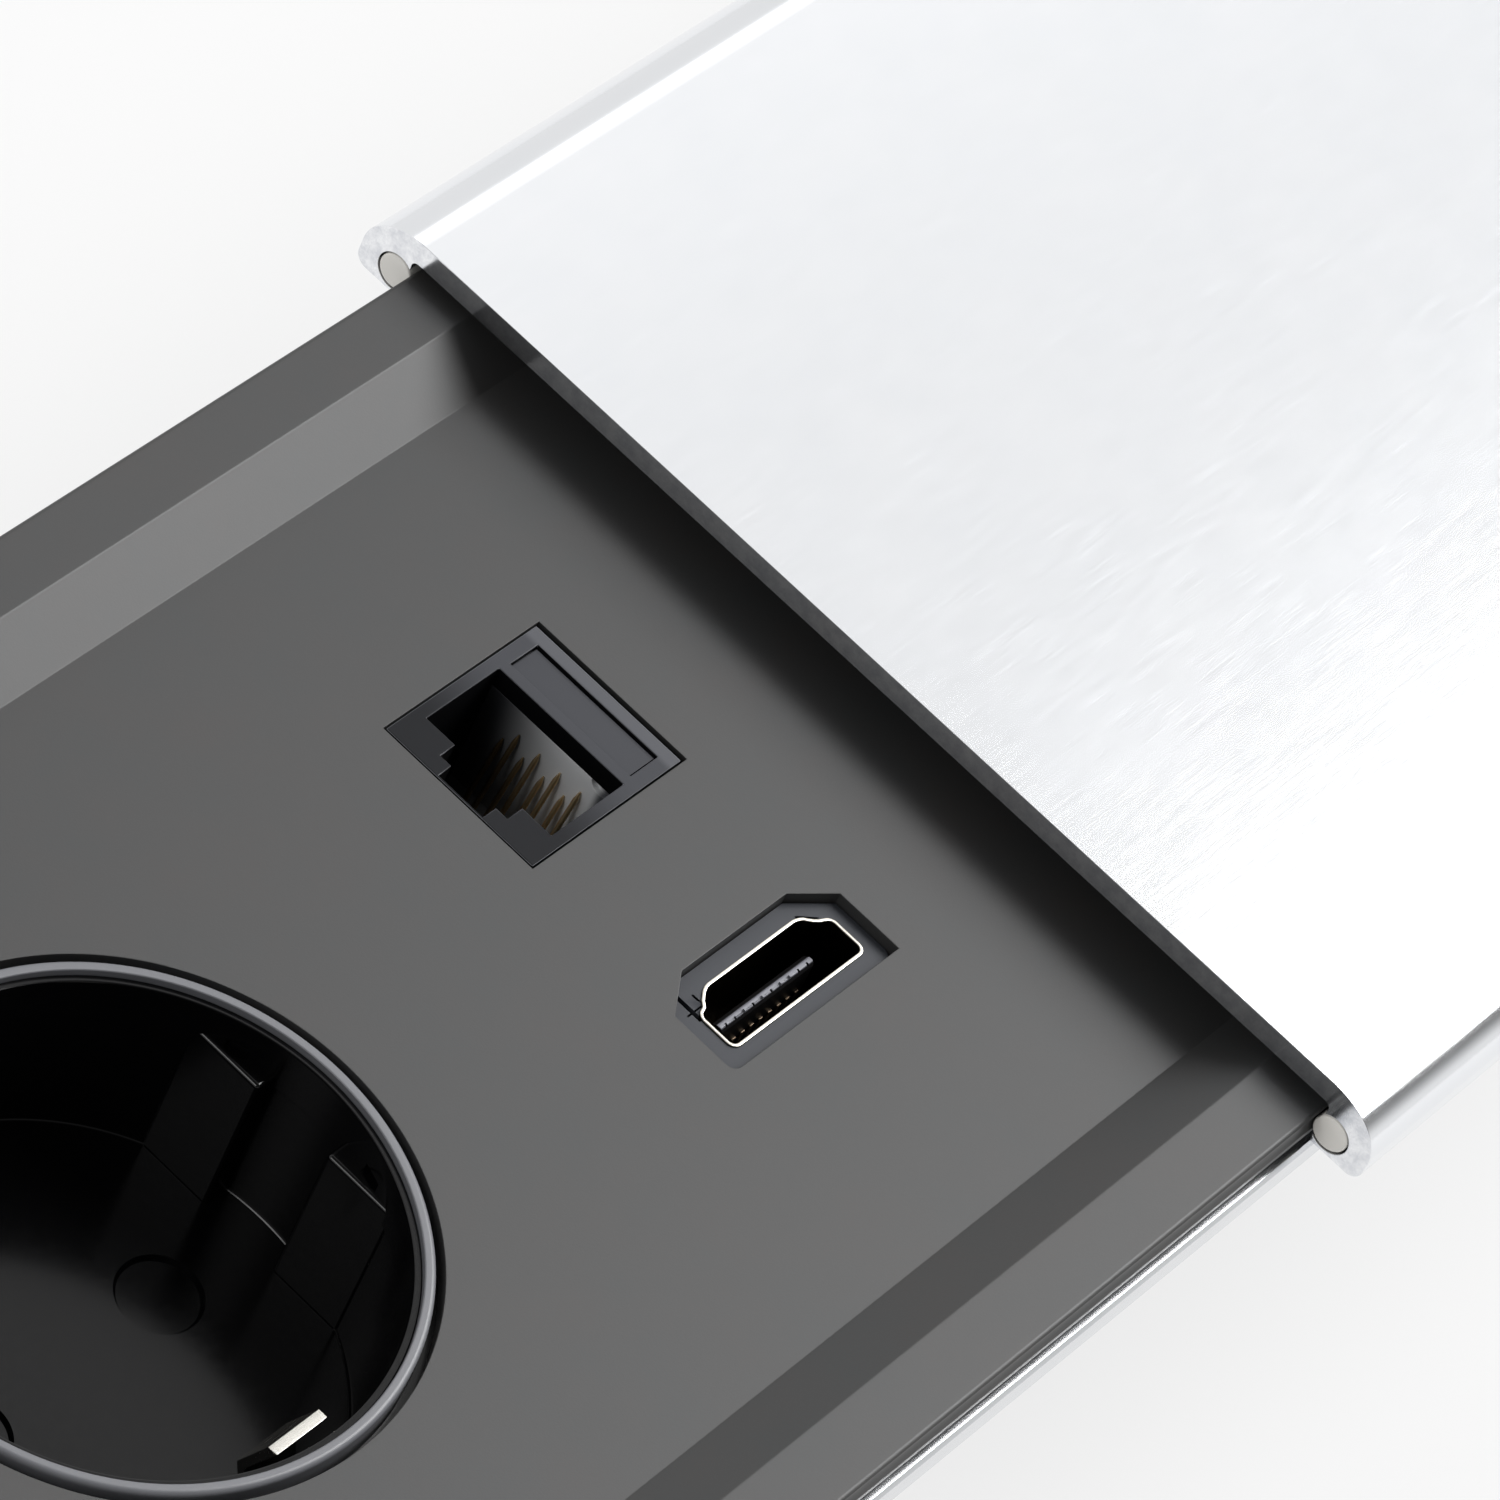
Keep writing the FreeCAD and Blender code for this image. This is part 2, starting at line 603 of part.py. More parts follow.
def keystone_frame():
    """Two walls with ledges under the window, on which the jack's steps rest."""
    (x_low, x_high), y_span = jack_window()
    ledge_top = JACK_STEP_Z - JACK_NOSE_BELOW_TRAY
    ledge_bottom = ledge_top - KEYSTONE_LEDGE_THICKNESS
    left = [(x_low, FACE_BOTTOM), (x_low - KEYSTONE_WALL, FACE_BOTTOM),
            (x_low - KEYSTONE_WALL, ledge_bottom), (x_low + KEYSTONE_LEDGE, ledge_bottom),
            (x_low + KEYSTONE_LEDGE, ledge_top), (x_low, ledge_top)]
    right_ledge = KEYSTONE_LEDGE + JACK_HOOK_GAP - JACK_WINDOW_CLEARANCE
    right = [(x_high, FACE_BOTTOM), (x_high + KEYSTONE_WALL, FACE_BOTTOM),
             (x_high + KEYSTONE_WALL, ledge_bottom), (x_high - right_ledge, ledge_bottom),
             (x_high - right_ledge, ledge_top), (x_high, ledge_top)]
    walls = [prism_y(left, y_span), prism_y(right, y_span)]
    notch_z = (NOSE_TOP - JACK_HOOK_HEIGHT - KEYSTONE_CLEARANCE, FACE_BOTTOM)
    latch_notch = block((x_low - KEYSTONE_WALL - OVERCUT, x_low),
                        span(JACK_Y, JACK_LATCH_WIDTH + 2 * KEYSTONE_CLEARANCE), notch_z)
    hook_notch = block((x_high, x_high + KEYSTONE_WALL + OVERCUT),
                       span(JACK_Y, JACK_HOOK_WIDTH + 2 * KEYSTONE_CLEARANCE), notch_z)
    return [walls[0].cut(latch_notch), walls[1].cut(hook_notch)]


def hdmi_window_outline(clearance):
    """Octagon-like outline, with both corners towards the middle of the strip cut off."""
    half_x = HDMI_WINDOW_LENGTH / 2 - clearance
    half_y = HDMI_WINDOW_WIDTH / 2 - clearance
    cut_x = HDMI_WINDOW_CHAMFER_X
    cut_y = HDMI_WINDOW_CHAMFER_Y
    corners = [(-half_x, -half_y), (half_x, -half_y), (half_x, half_y - cut_y),
               (half_x - cut_x, half_y), (-half_x + cut_x, half_y), (-half_x, half_y - cut_y)]
    return [(PORT_ROW_X + x, HDMI_Y + y) for x, y in corners]


def hdmi_window_prism(clearance, z_span):
    """The window's outline drawn upwards, with its two outer corners rounded."""
    body = prism_z(hdmi_window_outline(clearance), z_span)
    low_y = HDMI_Y - HDMI_WINDOW_WIDTH / 2 + clearance
    corners = [edge for edge in edges_along(body, UP) if near(edge.CenterOfMass.y, low_y)]
    return body.makeFillet(HDMI_WINDOW_ROUND, corners)


def socket_tray():
    pieces = [tray_profile()]
    for socket_x in SOCKET_XS:
        pieces += insert_hooks(socket_x)
    pieces += surround_hooks()
    pieces += [post(x, y, (TRAY_BOSS_BOTTOM, FACE_BOTTOM), TRAY_BOSS_DIAMETER) for x, y in boss_places()]
    pieces += keystone_frame()
    body = fused(pieces)
    through_face = (FACE_BOTTOM - OVERCUT, FACE_HEIGHT + OVERCUT)
    window_x, window_y = jack_window()
    hole_diameter = 2 * (RING_RADIUS + RING_GAP)
    holes = [post(socket_x, 0, through_face, hole_diameter) for socket_x in SOCKET_XS]
    holes.append(block(window_x, window_y, through_face))
    holes.append(hdmi_window_prism(0, through_face))
    bite = SCREW_SHANK_DIAMETER + 2 * SCREW_BITE_CLEARANCE
    holes += [post(x, y, (TRAY_BOSS_BOTTOM - OVERCUT, SCREW_TIP + OVERCUT), bite) for x, y in boss_places()]
    return body.cut(Part.makeCompound(holes))


# Side rails

def side_rail_left():
    """Rail that the flange rests on; its lower part is the rim on the desk top."""
    groove_outer = RIB_OUTER + LOCATING_RIB_CLEARANCE
    groove_inner = RIB_INNER - LOCATING_RIB_CLEARANCE
    groove_bottom = FLANGE_BOTTOM - LOCATING_RIB_DEPTH - LOCATING_RIB_CLEARANCE
    section = [
        (RAIL_INNER, DESK_SURFACE),
        (RIM_HALF, DESK_SURFACE),
        (RIM_HALF, RIM_TOP - RIM_BEVEL),
        (RIM_HALF - RIM_BEVEL, RIM_TOP),
        (RAIL_NECK, RIM_TOP),
        (RAIL_NECK, FLANGE_BOTTOM),
        (groove_outer, FLANGE_BOTTOM),
        (groove_outer, groove_bottom),
        (groove_inner, groove_bottom),
        (groove_inner, FLANGE_BOTTOM),
        (RAIL_INNER, FLANGE_BOTTOM),
    ]
    body = prism_x(section, (-TRAY_END, TRAY_END))
    port_x = (-TRAY_END - OVERCUT, TRAY_END + OVERCUT)
    return body.cut(bar_along_x(port_x, RAIL_PORT_Y, RAIL_PORT_Z, RAIL_PORT_DIAMETER))


# Cover and its rods

def shoulder_arc(x, side):
    """Quarter ellipse from the cover's side wall to its top."""
    centre = point(x, side * (COVER_HALF - SHOULDER_WIDTH), COVER_TOP - SHOULDER_HEIGHT)
    ellipse = Part.Ellipse(centre + ALONG_Y * (side * SHOULDER_WIDTH), centre + UP * SHOULDER_HEIGHT, centre)
    return Part.ArcOfEllipse(ellipse, 0, math.pi / 2).toShape()


def cover_outline(x, lower_points):
    """Face with the cover's shoulders on top and the given half section below."""
    arcs = [shoulder_arc(x, side) for side in (-1, 1)]
    shoulder_foot = COVER_TOP - SHOULDER_HEIGHT
    left_side = [point(x, COVER_HALF, shoulder_foot)] + [point(x, y, z) for y, z in lower_points]
    right_side = [point(x, -p.y, p.z) for p in reversed(left_side)]
    lower = Part.makePolygon(left_side + right_side)
    top_half = COVER_HALF - SHOULDER_WIDTH
    top = Part.makeLine(point(x, -top_half, COVER_TOP), point(x, top_half, COVER_TOP))
    edges = Part.sortEdges(arcs + [top] + lower.Edges)[0]
    return Part.Face(Part.Wire(edges))


def slide_cover():
    """Channel section with rounded shoulders and an open groove in each side bar."""
    x_span = (COVER_OPEN_X, COVER_END_X)
    along = ALONG_X * COVER_LENGTH
    lower = [(COVER_HALF, COVER_BOTTOM + COVER_EDGE_ROUND), (COVER_HALF - COVER_EDGE_ROUND, COVER_BOTTOM)]
    body = cover_outline(COVER_OPEN_X, lower).extrude(along)
    channel = block((x_span[0] - OVERCUT, x_span[1] + OVERCUT), (-CHANNEL_HALF, CHANNEL_HALF),
                    (COVER_BOTTOM - OVERCUT, COVER_UNDERSIDE))
    inner_corners = edges_along_x(channel, CHANNEL_HALF, COVER_UNDERSIDE)
    channel = channel.makeFillet(COVER_INNER_ROUND, inner_corners)
    body = body.cut(channel)
    for side in (-1, 1):
        groove = bar_along_x((x_span[0] - OVERCUT, x_span[1] + OVERCUT), side * ROD_Y, ROD_Z,
                             ROD_DIAMETER + 2 * ROD_SEAT_CLEARANCE)
        body = body.cut(groove)
    return body


def glide_rod_left():
    return bar_along_x((COVER_OPEN_X, COVER_END_X), ROD_Y, ROD_Z, ROD_DIAMETER)


def cover_stop():
    """Block bonded under the cover plate; it hangs into the sunk tray."""
    buffer_face = STOP_FACE_X - BUFFER_THICKNESS
    body = block((buffer_face - STOP_BLOCK_LENGTH, buffer_face), span(0, STOP_BLOCK_WIDTH),
                 (STOP_BOTTOM, COVER_UNDERSIDE))
    back_x = buffer_face - STOP_BLOCK_LENGTH
    back = [edge for edge in edges_along(body, UP) if near(edge.CenterOfMass.x, back_x)]
    return body.makeFillet(STOP_BLOCK_ROUND, back)


def stop_buffer():
    """Rubber pad on the stop block, which meets the right end cap."""
    return block((STOP_FACE_X - BUFFER_THICKNESS, STOP_FACE_X), span(0, STOP_BLOCK_WIDTH - 2 * BUFFER_MARGIN),
                 (STOP_BOTTOM, COVER_UNDERSIDE - COVER_OVER_FLANGE / 2))


# End caps

def cap_pegs(x_span):
    """Pegs that press into the rails' ports."""
    diameter = RAIL_PORT_DIAMETER - 2 * PEG_CLEARANCE
    return [bar_along_x(x_span, side * RAIL_PORT_Y, RAIL_PORT_Z, diameter) for side in (-1, 1)]


def end_cap_left():
    """Closing cap with the cover's own outline."""
    lower = [(COVER_HALF, COVER_BOTTOM), (RIM_HALF, COVER_BOTTOM), (RIM_HALF, DESK_SURFACE)]
    plate = cover_outline(-STRIP_END, lower).extrude(ALONG_X * END_CAP_THICKNESS)
    return fused([plate] + cap_pegs((-TRAY_END, -TRAY_END + PEG_LENGTH)))


def end_cap_right():
    """Low cap that the cover and its rods pass over; its middle closes the recess."""
    cap_half = ROD_Y - ROD_RADIUS - LOW_CAP_ROD_CLEARANCE
    half = [(cap_half, FLANGE_TOP), (cap_half, RIM_TOP), (RIM_HALF, RIM_TOP), (RIM_HALF, DESK_SURFACE)]
    plate = prism_x(two_sided(half), (TRAY_END, STRIP_END))
    return fused([plate] + cap_pegs((TRAY_END - PEG_LENGTH, TRAY_END)))


# Mains sockets

def socket_ring(socket_x):
    """Thin ring round the well, a little proud of the face."""
    profile = [(WELL_RADIUS, RING_BOTTOM), (RING_RADIUS, RING_BOTTOM), (RING_RADIUS, RING_TOP),
               (WELL_RADIUS, RING_TOP)]
    return turned(profile, socket_x, 0)


def well_profile(socket_x):
    """Round well with its floor, turned about the socket's axis."""
    outer = WELL_RADIUS + WELL_WALL
    profile = [(0, WELL_FLOOR_BOTTOM), (outer, WELL_FLOOR_BOTTOM), (outer, RING_BOTTOM),
               (WELL_RADIUS, RING_BOTTOM), (WELL_RADIUS, WELL_FLOOR_TOP), (0, WELL_FLOOR_TOP)]
    return turned(profile, socket_x, 0)


def insert_plate(socket_x):
    """Plate under the tray, with a bore that seats the ring."""
    plate = rounded_block(span(socket_x, INSERT_PLATE_LENGTH), span(0, INSERT_PLATE_WIDTH),
                          (INSERT_PLATE_BOTTOM, FACE_BOTTOM), INSERT_PLATE_ROUND)
    bore = post(socket_x, 0, (INSERT_PLATE_BOTTOM - OVERCUT, FACE_BOTTOM + OVERCUT), WELL_DIAMETER)
    seat = post(socket_x, 0, (RING_BOTTOM, FACE_BOTTOM + OVERCUT), 2 * (RING_RADIUS + RING_SEAT_CLEARANCE))
    return plate.cut(bore.fuse(seat))


def guide_shoulders(socket_x):
    """Four blocks with flats towards the well, two at each end of the socket's axis."""
    top = FACE_HEIGHT - SHOULDER_BELOW_RIM
    inside = post(socket_x, 0, (WELL_FLOOR_TOP - SHOULDER_SINK, top), WELL_DIAMETER + 2 * SHOULDER_SINK)
    shoulders = []
    inner_x = WELL_RADIUS - SHOULDER_REACH
    outer_x = WELL_RADIUS + OVERCUT
    for side_x in (-1, 1):
        x_ends = sorted((socket_x + side_x * inner_x, socket_x + side_x * outer_x))
        for side_y in (-1, 1):
            y_ends = sorted((side_y * SHOULDER_INNER_Y, side_y * SHOULDER_OUTER_Y))
            shoulder = block(x_ends, y_ends, (WELL_FLOOR_TOP - SHOULDER_SINK, top)).common(inside)
            shoulders.append(shoulder)
    return shoulders


def pin_holes(socket_x):
    """Two pin holes through the well's floor."""
    z_span = (WELL_FLOOR_BOTTOM - OVERCUT, WELL_FLOOR_TOP + OVERCUT)
    return [post(socket_x + side * PIN_OFFSET, 0, z_span, PIN_HOLE_DIAMETER) for side in (-1, 1)]


def clip_slots(socket_x):
    """Slots in the well's floor through which the earth clip's arms rise."""
    inner = CLIP_REACH - CLIP_THICKNESS - CLIP_SLOT_MARGIN
    outer = CLIP_REACH + CLIP_SLOT_MARGIN
    z_span = (WELL_FLOOR_BOTTOM - OVERCUT, WELL_FLOOR_TOP + OVERCUT)
    x_span = span(socket_x, CLIP_WIDTH + 2 * CLIP_SLOT_MARGIN)
    return [block(x_span, y_span, z_span) for y_span in ((inner, outer), (-outer, -inner))]


def socket_insert(socket_x):
    body = fused([well_profile(socket_x), insert_plate(socket_x)] + guide_shoulders(socket_x))
    return body.cut(Part.makeCompound(pin_holes(socket_x) + clip_slots(socket_x)))


def earth_clip(socket_x):
    """Bent strip: a strap under the well and two bowed arms inside it."""
    outer_arm = [
        (CLIP_REACH, CLIP_BOTTOM),
        (CLIP_REACH, CLIP_BOTTOM + CLIP_STRAIGHT),
        (CLIP_REACH - CLIP_BOW, CLIP_TOP - CLIP_THROAT_BELOW_TIP),
        (CLIP_REACH - CLIP_TIP_BOW, CLIP_TOP),
    ]
    inner_arm = [(y - CLIP_THICKNESS, z) for y, z in reversed(outer_arm[1:])]
    half = outer_arm + inner_arm + [(CLIP_REACH - CLIP_THICKNESS, WELL_FLOOR_BOTTOM)]
    section = half[::-1] + [(-y, z) for y, z in half]
    return prism_x(section, span(socket_x, CLIP_WIDTH))


# Brass rails

def pole_rail(strip_y, sleeve_xs, grow, bored):
    """Upright strip with a sleeve under each pin hole; grow gives its pocket."""
    thickness = RAIL_STRIP_THICKNESS + 2 * grow
    strip_start = min(sleeve_xs) - RAIL_TAB_WIDTH / 2 - grow
    strip_z = (STRIP_BOTTOM - grow, STRIP_TOP)
    sleeve_z = (SLEEVE_BOTTOM - grow, SLEEVE_TOP)
    pieces = [block((strip_start, RAIL_STRIP_END + grow), span(strip_y, thickness), strip_z)]
    tab_y = sorted((0, strip_y))
    for sleeve_x in sleeve_xs:
        pieces.append(block(span(sleeve_x, RAIL_TAB_WIDTH + 2 * grow), tab_y, strip_z))
        pieces.append(post(sleeve_x, 0, sleeve_z, SLEEVE_OUTER_DIAMETER + 2 * grow))
    body = fused(pieces)
    if bored:
        bores = [post(x, 0, (SLEEVE_BOTTOM - OVERCUT, SLEEVE_TOP + OVERCUT), SLEEVE_BORE) for x in sleeve_xs]
        body = body.cut(Part.makeCompound(bores))
    return body


def live_sleeve_xs():
    return [socket_x - PIN_OFFSET for socket_x in SOCKET_XS]


def neutral_sleeve_xs():
    return [socket_x + PIN_OFFSET for socket_x in SOCKET_XS]


def earth_strip(grow):
    """Flat strip under both earth clips, with its end in the terminal block."""
    x_span = (SOCKET_XS[-1] - CLIP_WIDTH, RAIL_STRIP_END)
    return block(x_span, span(EARTH_STRIP_Y, EARTH_STRIP_WIDTH + 2 * grow),
                 (BASE_TOP - EARTH_STRIP_THICKNESS, BASE_TOP))


def contact_base():
    """Moulded base with a pocket for each rail."""
    body = block((BASE_START, BASE_END), (-BASE_HALF, BASE_HALF), (BASE_BOTTOM, BASE_TOP))
    pockets = [
        pole_rail(RAIL_STRIP_Y, live_sleeve_xs(), RAIL_POCKET_CLEARANCE, False),
        pole_rail(-RAIL_STRIP_Y, neutral_sleeve_xs(), RAIL_POCKET_CLEARANCE, False),
    ]
    for strip_y in (RAIL_STRIP_Y, -RAIL_STRIP_Y):
        strip_start = SOCKET_XS[-1] - PIN_OFFSET - SLEEVE_OUTER_DIAMETER / 2
        pockets.append(block((strip_start, BASE_END + OVERCUT),
                             span(strip_y, RAIL_STRIP_THICKNESS + 2 * RAIL_POCKET_CLEARANCE),
                             (STRIP_BOTTOM, BASE_TOP + OVERCUT)))
    pockets.append(earth_strip(RAIL_POCKET_CLEARANCE))
    return body.cut(fused(pockets))


def terminal_block():
    """Three-pole block: rails enter from the sockets, wires from the other side."""
    y_span = (min(POLE_YS) - TERMINAL_MARGIN, max(POLE_YS) + TERMINAL_MARGIN)
    body = block((TERMINAL_START, TERMINAL_END), y_span, (BASE_BOTTOM, TERMINAL_TOP))
    screw_x = TERMINAL_END - TERMINAL_SCREW_FROM_END
    holes = []
    for pole_y in POLE_YS:
        wire_x = (RAIL_STRIP_END, TERMINAL_END + OVERCUT)
        holes.append(block(wire_x, span(pole_y, TERMINAL_WIRE_ENTRY), span(POLE_Z, TERMINAL_WIRE_ENTRY)))
        holes.append(post(screw_x, pole_y, (POLE_Z, TERMINAL_TOP + OVERCUT), TERMINAL_SCREW_BORE))
    strip_slot_z = (STRIP_BOTTOM - RAIL_POCKET_CLEARANCE, STRIP_TOP + RAIL_POCKET_CLEARANCE)
    slot_x = (TERMINAL_START - OVERCUT, RAIL_STRIP_END + RAIL_POCKET_CLEARANCE)
    for pole_y in POLE_YS[:2]:
        slot_y = span(pole_y, RAIL_STRIP_THICKNESS + 2 * RAIL_POCKET_CLEARANCE)
        holes.append(block(slot_x, slot_y, strip_slot_z))
    earth_z = (BASE_TOP - EARTH_STRIP_THICKNESS - RAIL_POCKET_CLEARANCE, BASE_TOP + RAIL_POCKET_CLEARANCE)
    holes.append(block(slot_x, span(EARTH_STRIP_Y, EARTH_STRIP_WIDTH + 2 * RAIL_POCKET_CLEARANCE), earth_z))
    return body.cut(fused(holes))


def terminal_screws():
    """Three clamping screws, sunk in their wells."""
    screw_x = TERMINAL_END - TERMINAL_SCREW_FROM_END
    top = TERMINAL_TOP - TERMINAL_SCREW_SUNK
    screws = []
    for pole_y in POLE_YS:
        screw = post(screw_x, pole_y, (top - TERMINAL_SCREW_LENGTH, top), TERMINAL_SCREW_DIAMETER)
        slot = block(span(screw_x, TERMINAL_SCREW_DIAMETER + OVERCUT), span(pole_y, TERMINAL_SCREW_SLOT),
                     (top - TERMINAL_SCREW_SLOT, top + OVERCUT))
        screws.append(screw.cut(slot))
    return Part.makeCompound(screws)


# Network jack

def jack_opening():
    """Plug opening with its two-stepped latch notch."""
    opening_x = (JACK_OPENING_START, JACK_OPENING_END)
    z_span = (FACE_HEIGHT - JACK_OPENING_DEPTH, FACE_HEIGHT + OVERCUT)
    pieces = [block(opening_x, span(JACK_Y, JACK_OPENING_WIDTH), z_span)]
    notches = ((LATCH_NOTCH_WIDTH, LATCH_NOTCH_DEPTH), (LATCH_SLOT_WIDTH, LATCH_SLOT_DEPTH))
    for width, depth in notches:
        pieces.append(block((opening_x[0] - depth, opening_x[0] + OVERCUT), span(JACK_Y, width), z_span))
    return fused(pieces)


def carrier_seat():
    """Space behind the opening's rim for the contact carrier."""
    wall_x = JACK_OPENING_END
    z_top = FACE_HEIGHT - JACK_RIM
    return block((wall_x - OVERCUT, wall_x + CARRIER_WALL), span(JACK_Y, JACK_OPENING_WIDTH),
                 (FACE_HEIGHT - JACK_OPENING_DEPTH, z_top))


def jack_noses():
    """Fixed hook on one side and sprung latch on the other, under the tray's face."""
    low_x, high_x = span(PORT_ROW_X, JACK_LENGTH)
    z_low = NOSE_TOP - JACK_HOOK_HEIGHT
    hook = [(high_x - OVERCUT, NOSE_TOP), (high_x + JACK_HOOK_REACH, NOSE_TOP),
            (high_x + JACK_HOOK_REACH, z_low + JACK_HOOK_HEIGHT / 2), (high_x - OVERCUT, z_low)]
    latch = [(low_x + OVERCUT, NOSE_TOP), (low_x - JACK_HOOK_REACH, NOSE_TOP),
             (low_x - JACK_HOOK_REACH, z_low + JACK_HOOK_HEIGHT / 2), (low_x + OVERCUT, z_low)]
    return [prism_y(hook, span(JACK_Y, JACK_HOOK_WIDTH)), prism_y(latch, span(JACK_Y, JACK_LATCH_WIDTH))]


def jack_body():
    front = block(span(PORT_ROW_X, JACK_LENGTH), span(JACK_Y, JACK_WIDTH), (JACK_STEP_Z, FACE_HEIGHT))
    rear = block(span(PORT_ROW_X, JACK_LENGTH - 2 * JACK_STEP), span(JACK_Y, JACK_WIDTH),
                 (JACK_BOTTOM, JACK_STEP_Z))
    body = fused([front, rear] + jack_noses())
    label = block((LABEL_START, LABEL_START + LABEL_LENGTH), span(JACK_Y, LABEL_WIDTH),
                  (FACE_HEIGHT - LABEL_DEPTH, FACE_HEIGHT + OVERCUT))
    return body.cut(fused([jack_opening(), carrier_seat()])).cut(label)


def jack_contact_carrier():
    """Light inner piece: a wall behind the contacts, on a foot at the opening's floor."""
    wall_x = JACK_OPENING_END
    floor = FACE_HEIGHT - JACK_OPENING_DEPTH
    top = FACE_HEIGHT - JACK_RIM
    foot_top = top - CARRIER_DEPTH
    foot_start = wall_x - JACK_OPENING_LENGTH / 2
    section = [(wall_x + CARRIER_WALL, floor), (wall_x + CARRIER_WALL, top), (wall_x, top),
               (wall_x, foot_top), (foot_start, foot_top), (foot_start, floor)]
    return prism_y(section, span(JACK_Y, JACK_OPENING_WIDTH))


def jack_contacts():
    """Eight slanted wires that stand on the carrier's foot, alternate ones shorter."""
    wall_x = JACK_OPENING_END
    foot_z = FACE_HEIGHT - JACK_RIM - CARRIER_DEPTH
    tops = (JACK_CONTACT_TOP, JACK_CONTACT_LOW_TOP)
    wires = []
    for number in range(JACK_CONTACT_COUNT):
        wire_y = JACK_Y + (number - (JACK_CONTACT_COUNT - 1) / 2) * JACK_CONTACT_PITCH
        tip_x = wall_x - JACK_CONTACT_SIZE
        tip_z = FACE_HEIGHT - tops[number % 2]
        foot_x = tip_x - JACK_CONTACT_SLANT * (tip_z - foot_z)
        side = [(foot_x, foot_z), (foot_x + JACK_CONTACT_SIZE, foot_z),
                (tip_x + JACK_CONTACT_SIZE, tip_z), (tip_x, tip_z)]
        wires.append(prism_y(side, span(wire_y, JACK_CONTACT_SIZE)))
    return Part.makeCompound(wires)


def jack_rear_cap():
    """Cap over the rear connections, open at one side for the cable."""
    x_span = span(PORT_ROW_X, JACK_LENGTH - 2 * JACK_STEP - 2 * REAR_CAP_INSET)
    y_span = span(JACK_Y, JACK_WIDTH - 2 * REAR_CAP_INSET)
    body = rounded_block(x_span, y_span, (JACK_BOTTOM - REAR_CAP_HEIGHT, JACK_BOTTOM), REAR_CAP_INSET)
    notch_z = JACK_BOTTOM - REAR_CAP_HEIGHT + REAR_CAP_NOTCH / 2
    return body.cut(bar_along_x((PORT_ROW_X, x_span[1] + OVERCUT), JACK_Y, notch_z, REAR_CAP_NOTCH))


# HDMI port

def shell_outline(grow):
    """Outline of the sheet shell, wide side outwards, narrowed towards the strip's middle."""
    half_x = SHELL_LENGTH / 2 + grow
    low = -SHELL_WIDTH / 2 - grow
    high = SHELL_WIDTH / 2 + grow
    corners = [(-half_x, low), (half_x, low), (half_x, low + SHELL_SIDE_HEIGHT + grow),
               (SHELL_TOP_LENGTH / 2 + grow / 2, high), (-SHELL_TOP_LENGTH / 2 - grow / 2, high),
               (-half_x, low + SHELL_SIDE_HEIGHT + grow)]
    return [(PORT_ROW_X + x, HDMI_Y + y) for x, y in corners]


def shell_prism(grow, z_span):
    body = prism_z(shell_outline(grow), z_span)
    return body.makeFillet(SHELL_ROUND + grow, edges_along(body, UP))


def hdmi_surround():
    """Filler plate set below the face, on a wider plate under the tray."""
    filler = hdmi_window_prism(HDMI_CLEARANCE, (SURROUND_PLATE_BOTTOM, SURROUND_TOP))
    plate = rounded_block(span(PORT_ROW_X, SURROUND_PLATE_LENGTH), span(HDMI_Y, SURROUND_PLATE_WIDTH),
                          (SURROUND_PLATE_BOTTOM, FACE_BOTTOM), HDMI_BODY_ROUND)
    body = fused([filler, plate])
    passage = shell_prism(HDMI_CLEARANCE, (SURROUND_PLATE_BOTTOM - OVERCUT, SURROUND_TOP + OVERCUT))
    seam_x = (PORT_ROW_X - HDMI_WINDOW_LENGTH / 2 - OVERCUT, PORT_ROW_X - SHELL_LENGTH / 2)
    seam = block(seam_x, span(HDMI_Y + SURROUND_SEAM_Y, SURROUND_SEAM_WIDTH),
                 (SURROUND_TOP - SURROUND_SEAM_DEPTH, SURROUND_TOP + OVERCUT))
    return body.cut(passage).cut(seam)


def hdmi_shell():
    """Sheet shell, open at both ends."""
    z_span = (SHELL_BOTTOM, SHELL_TOP)
    inside = shell_prism(-SHELL_SHEET, (z_span[0] - OVERCUT, z_span[1] + OVERCUT))
    return shell_prism(0, z_span).cut(inside)


def hdmi_tongue():
    return block(span(PORT_ROW_X, TONGUE_LENGTH), span(HDMI_Y + TONGUE_Y, TONGUE_THICKNESS),
                 (SHELL_BOTTOM, TONGUE_TOP))


def hdmi_contacts():
    """Contact strips on both sides of the tongue."""
    strips = []
    for side, count in zip((-1, 1), CONTACT_STRIP_COUNTS):
        face_y = HDMI_Y + TONGUE_Y + side * TONGUE_THICKNESS / 2
        y_span = sorted((face_y, face_y + side * CONTACT_STRIP_THICKNESS))
        for number in range(count):
            strip_x = PORT_ROW_X + (number - (count - 1) / 2) * CONTACT_STRIP_PITCH
            strips.append(block(span(strip_x, CONTACT_STRIP_WIDTH), y_span,
                                (SHELL_BOTTOM, TONGUE_TOP - CONTACT_STRIP_TIP)))
    return Part.makeCompound(strips)


def hdmi_body():
    """Rear housing; its pocket takes the shell."""
    top = SURROUND_PLATE_BOTTOM
    body = rounded_block(span(PORT_ROW_X, HDMI_BODY_LENGTH), span(HDMI_Y, HDMI_BODY_WIDTH),
                         (top - HDMI_BODY_HEIGHT, top), HDMI_BODY_ROUND)
    return body.cut(shell_prism(HDMI_CLEARANCE, (SHELL_BOTTOM, top + OVERCUT)))


# Lower housing and its screws

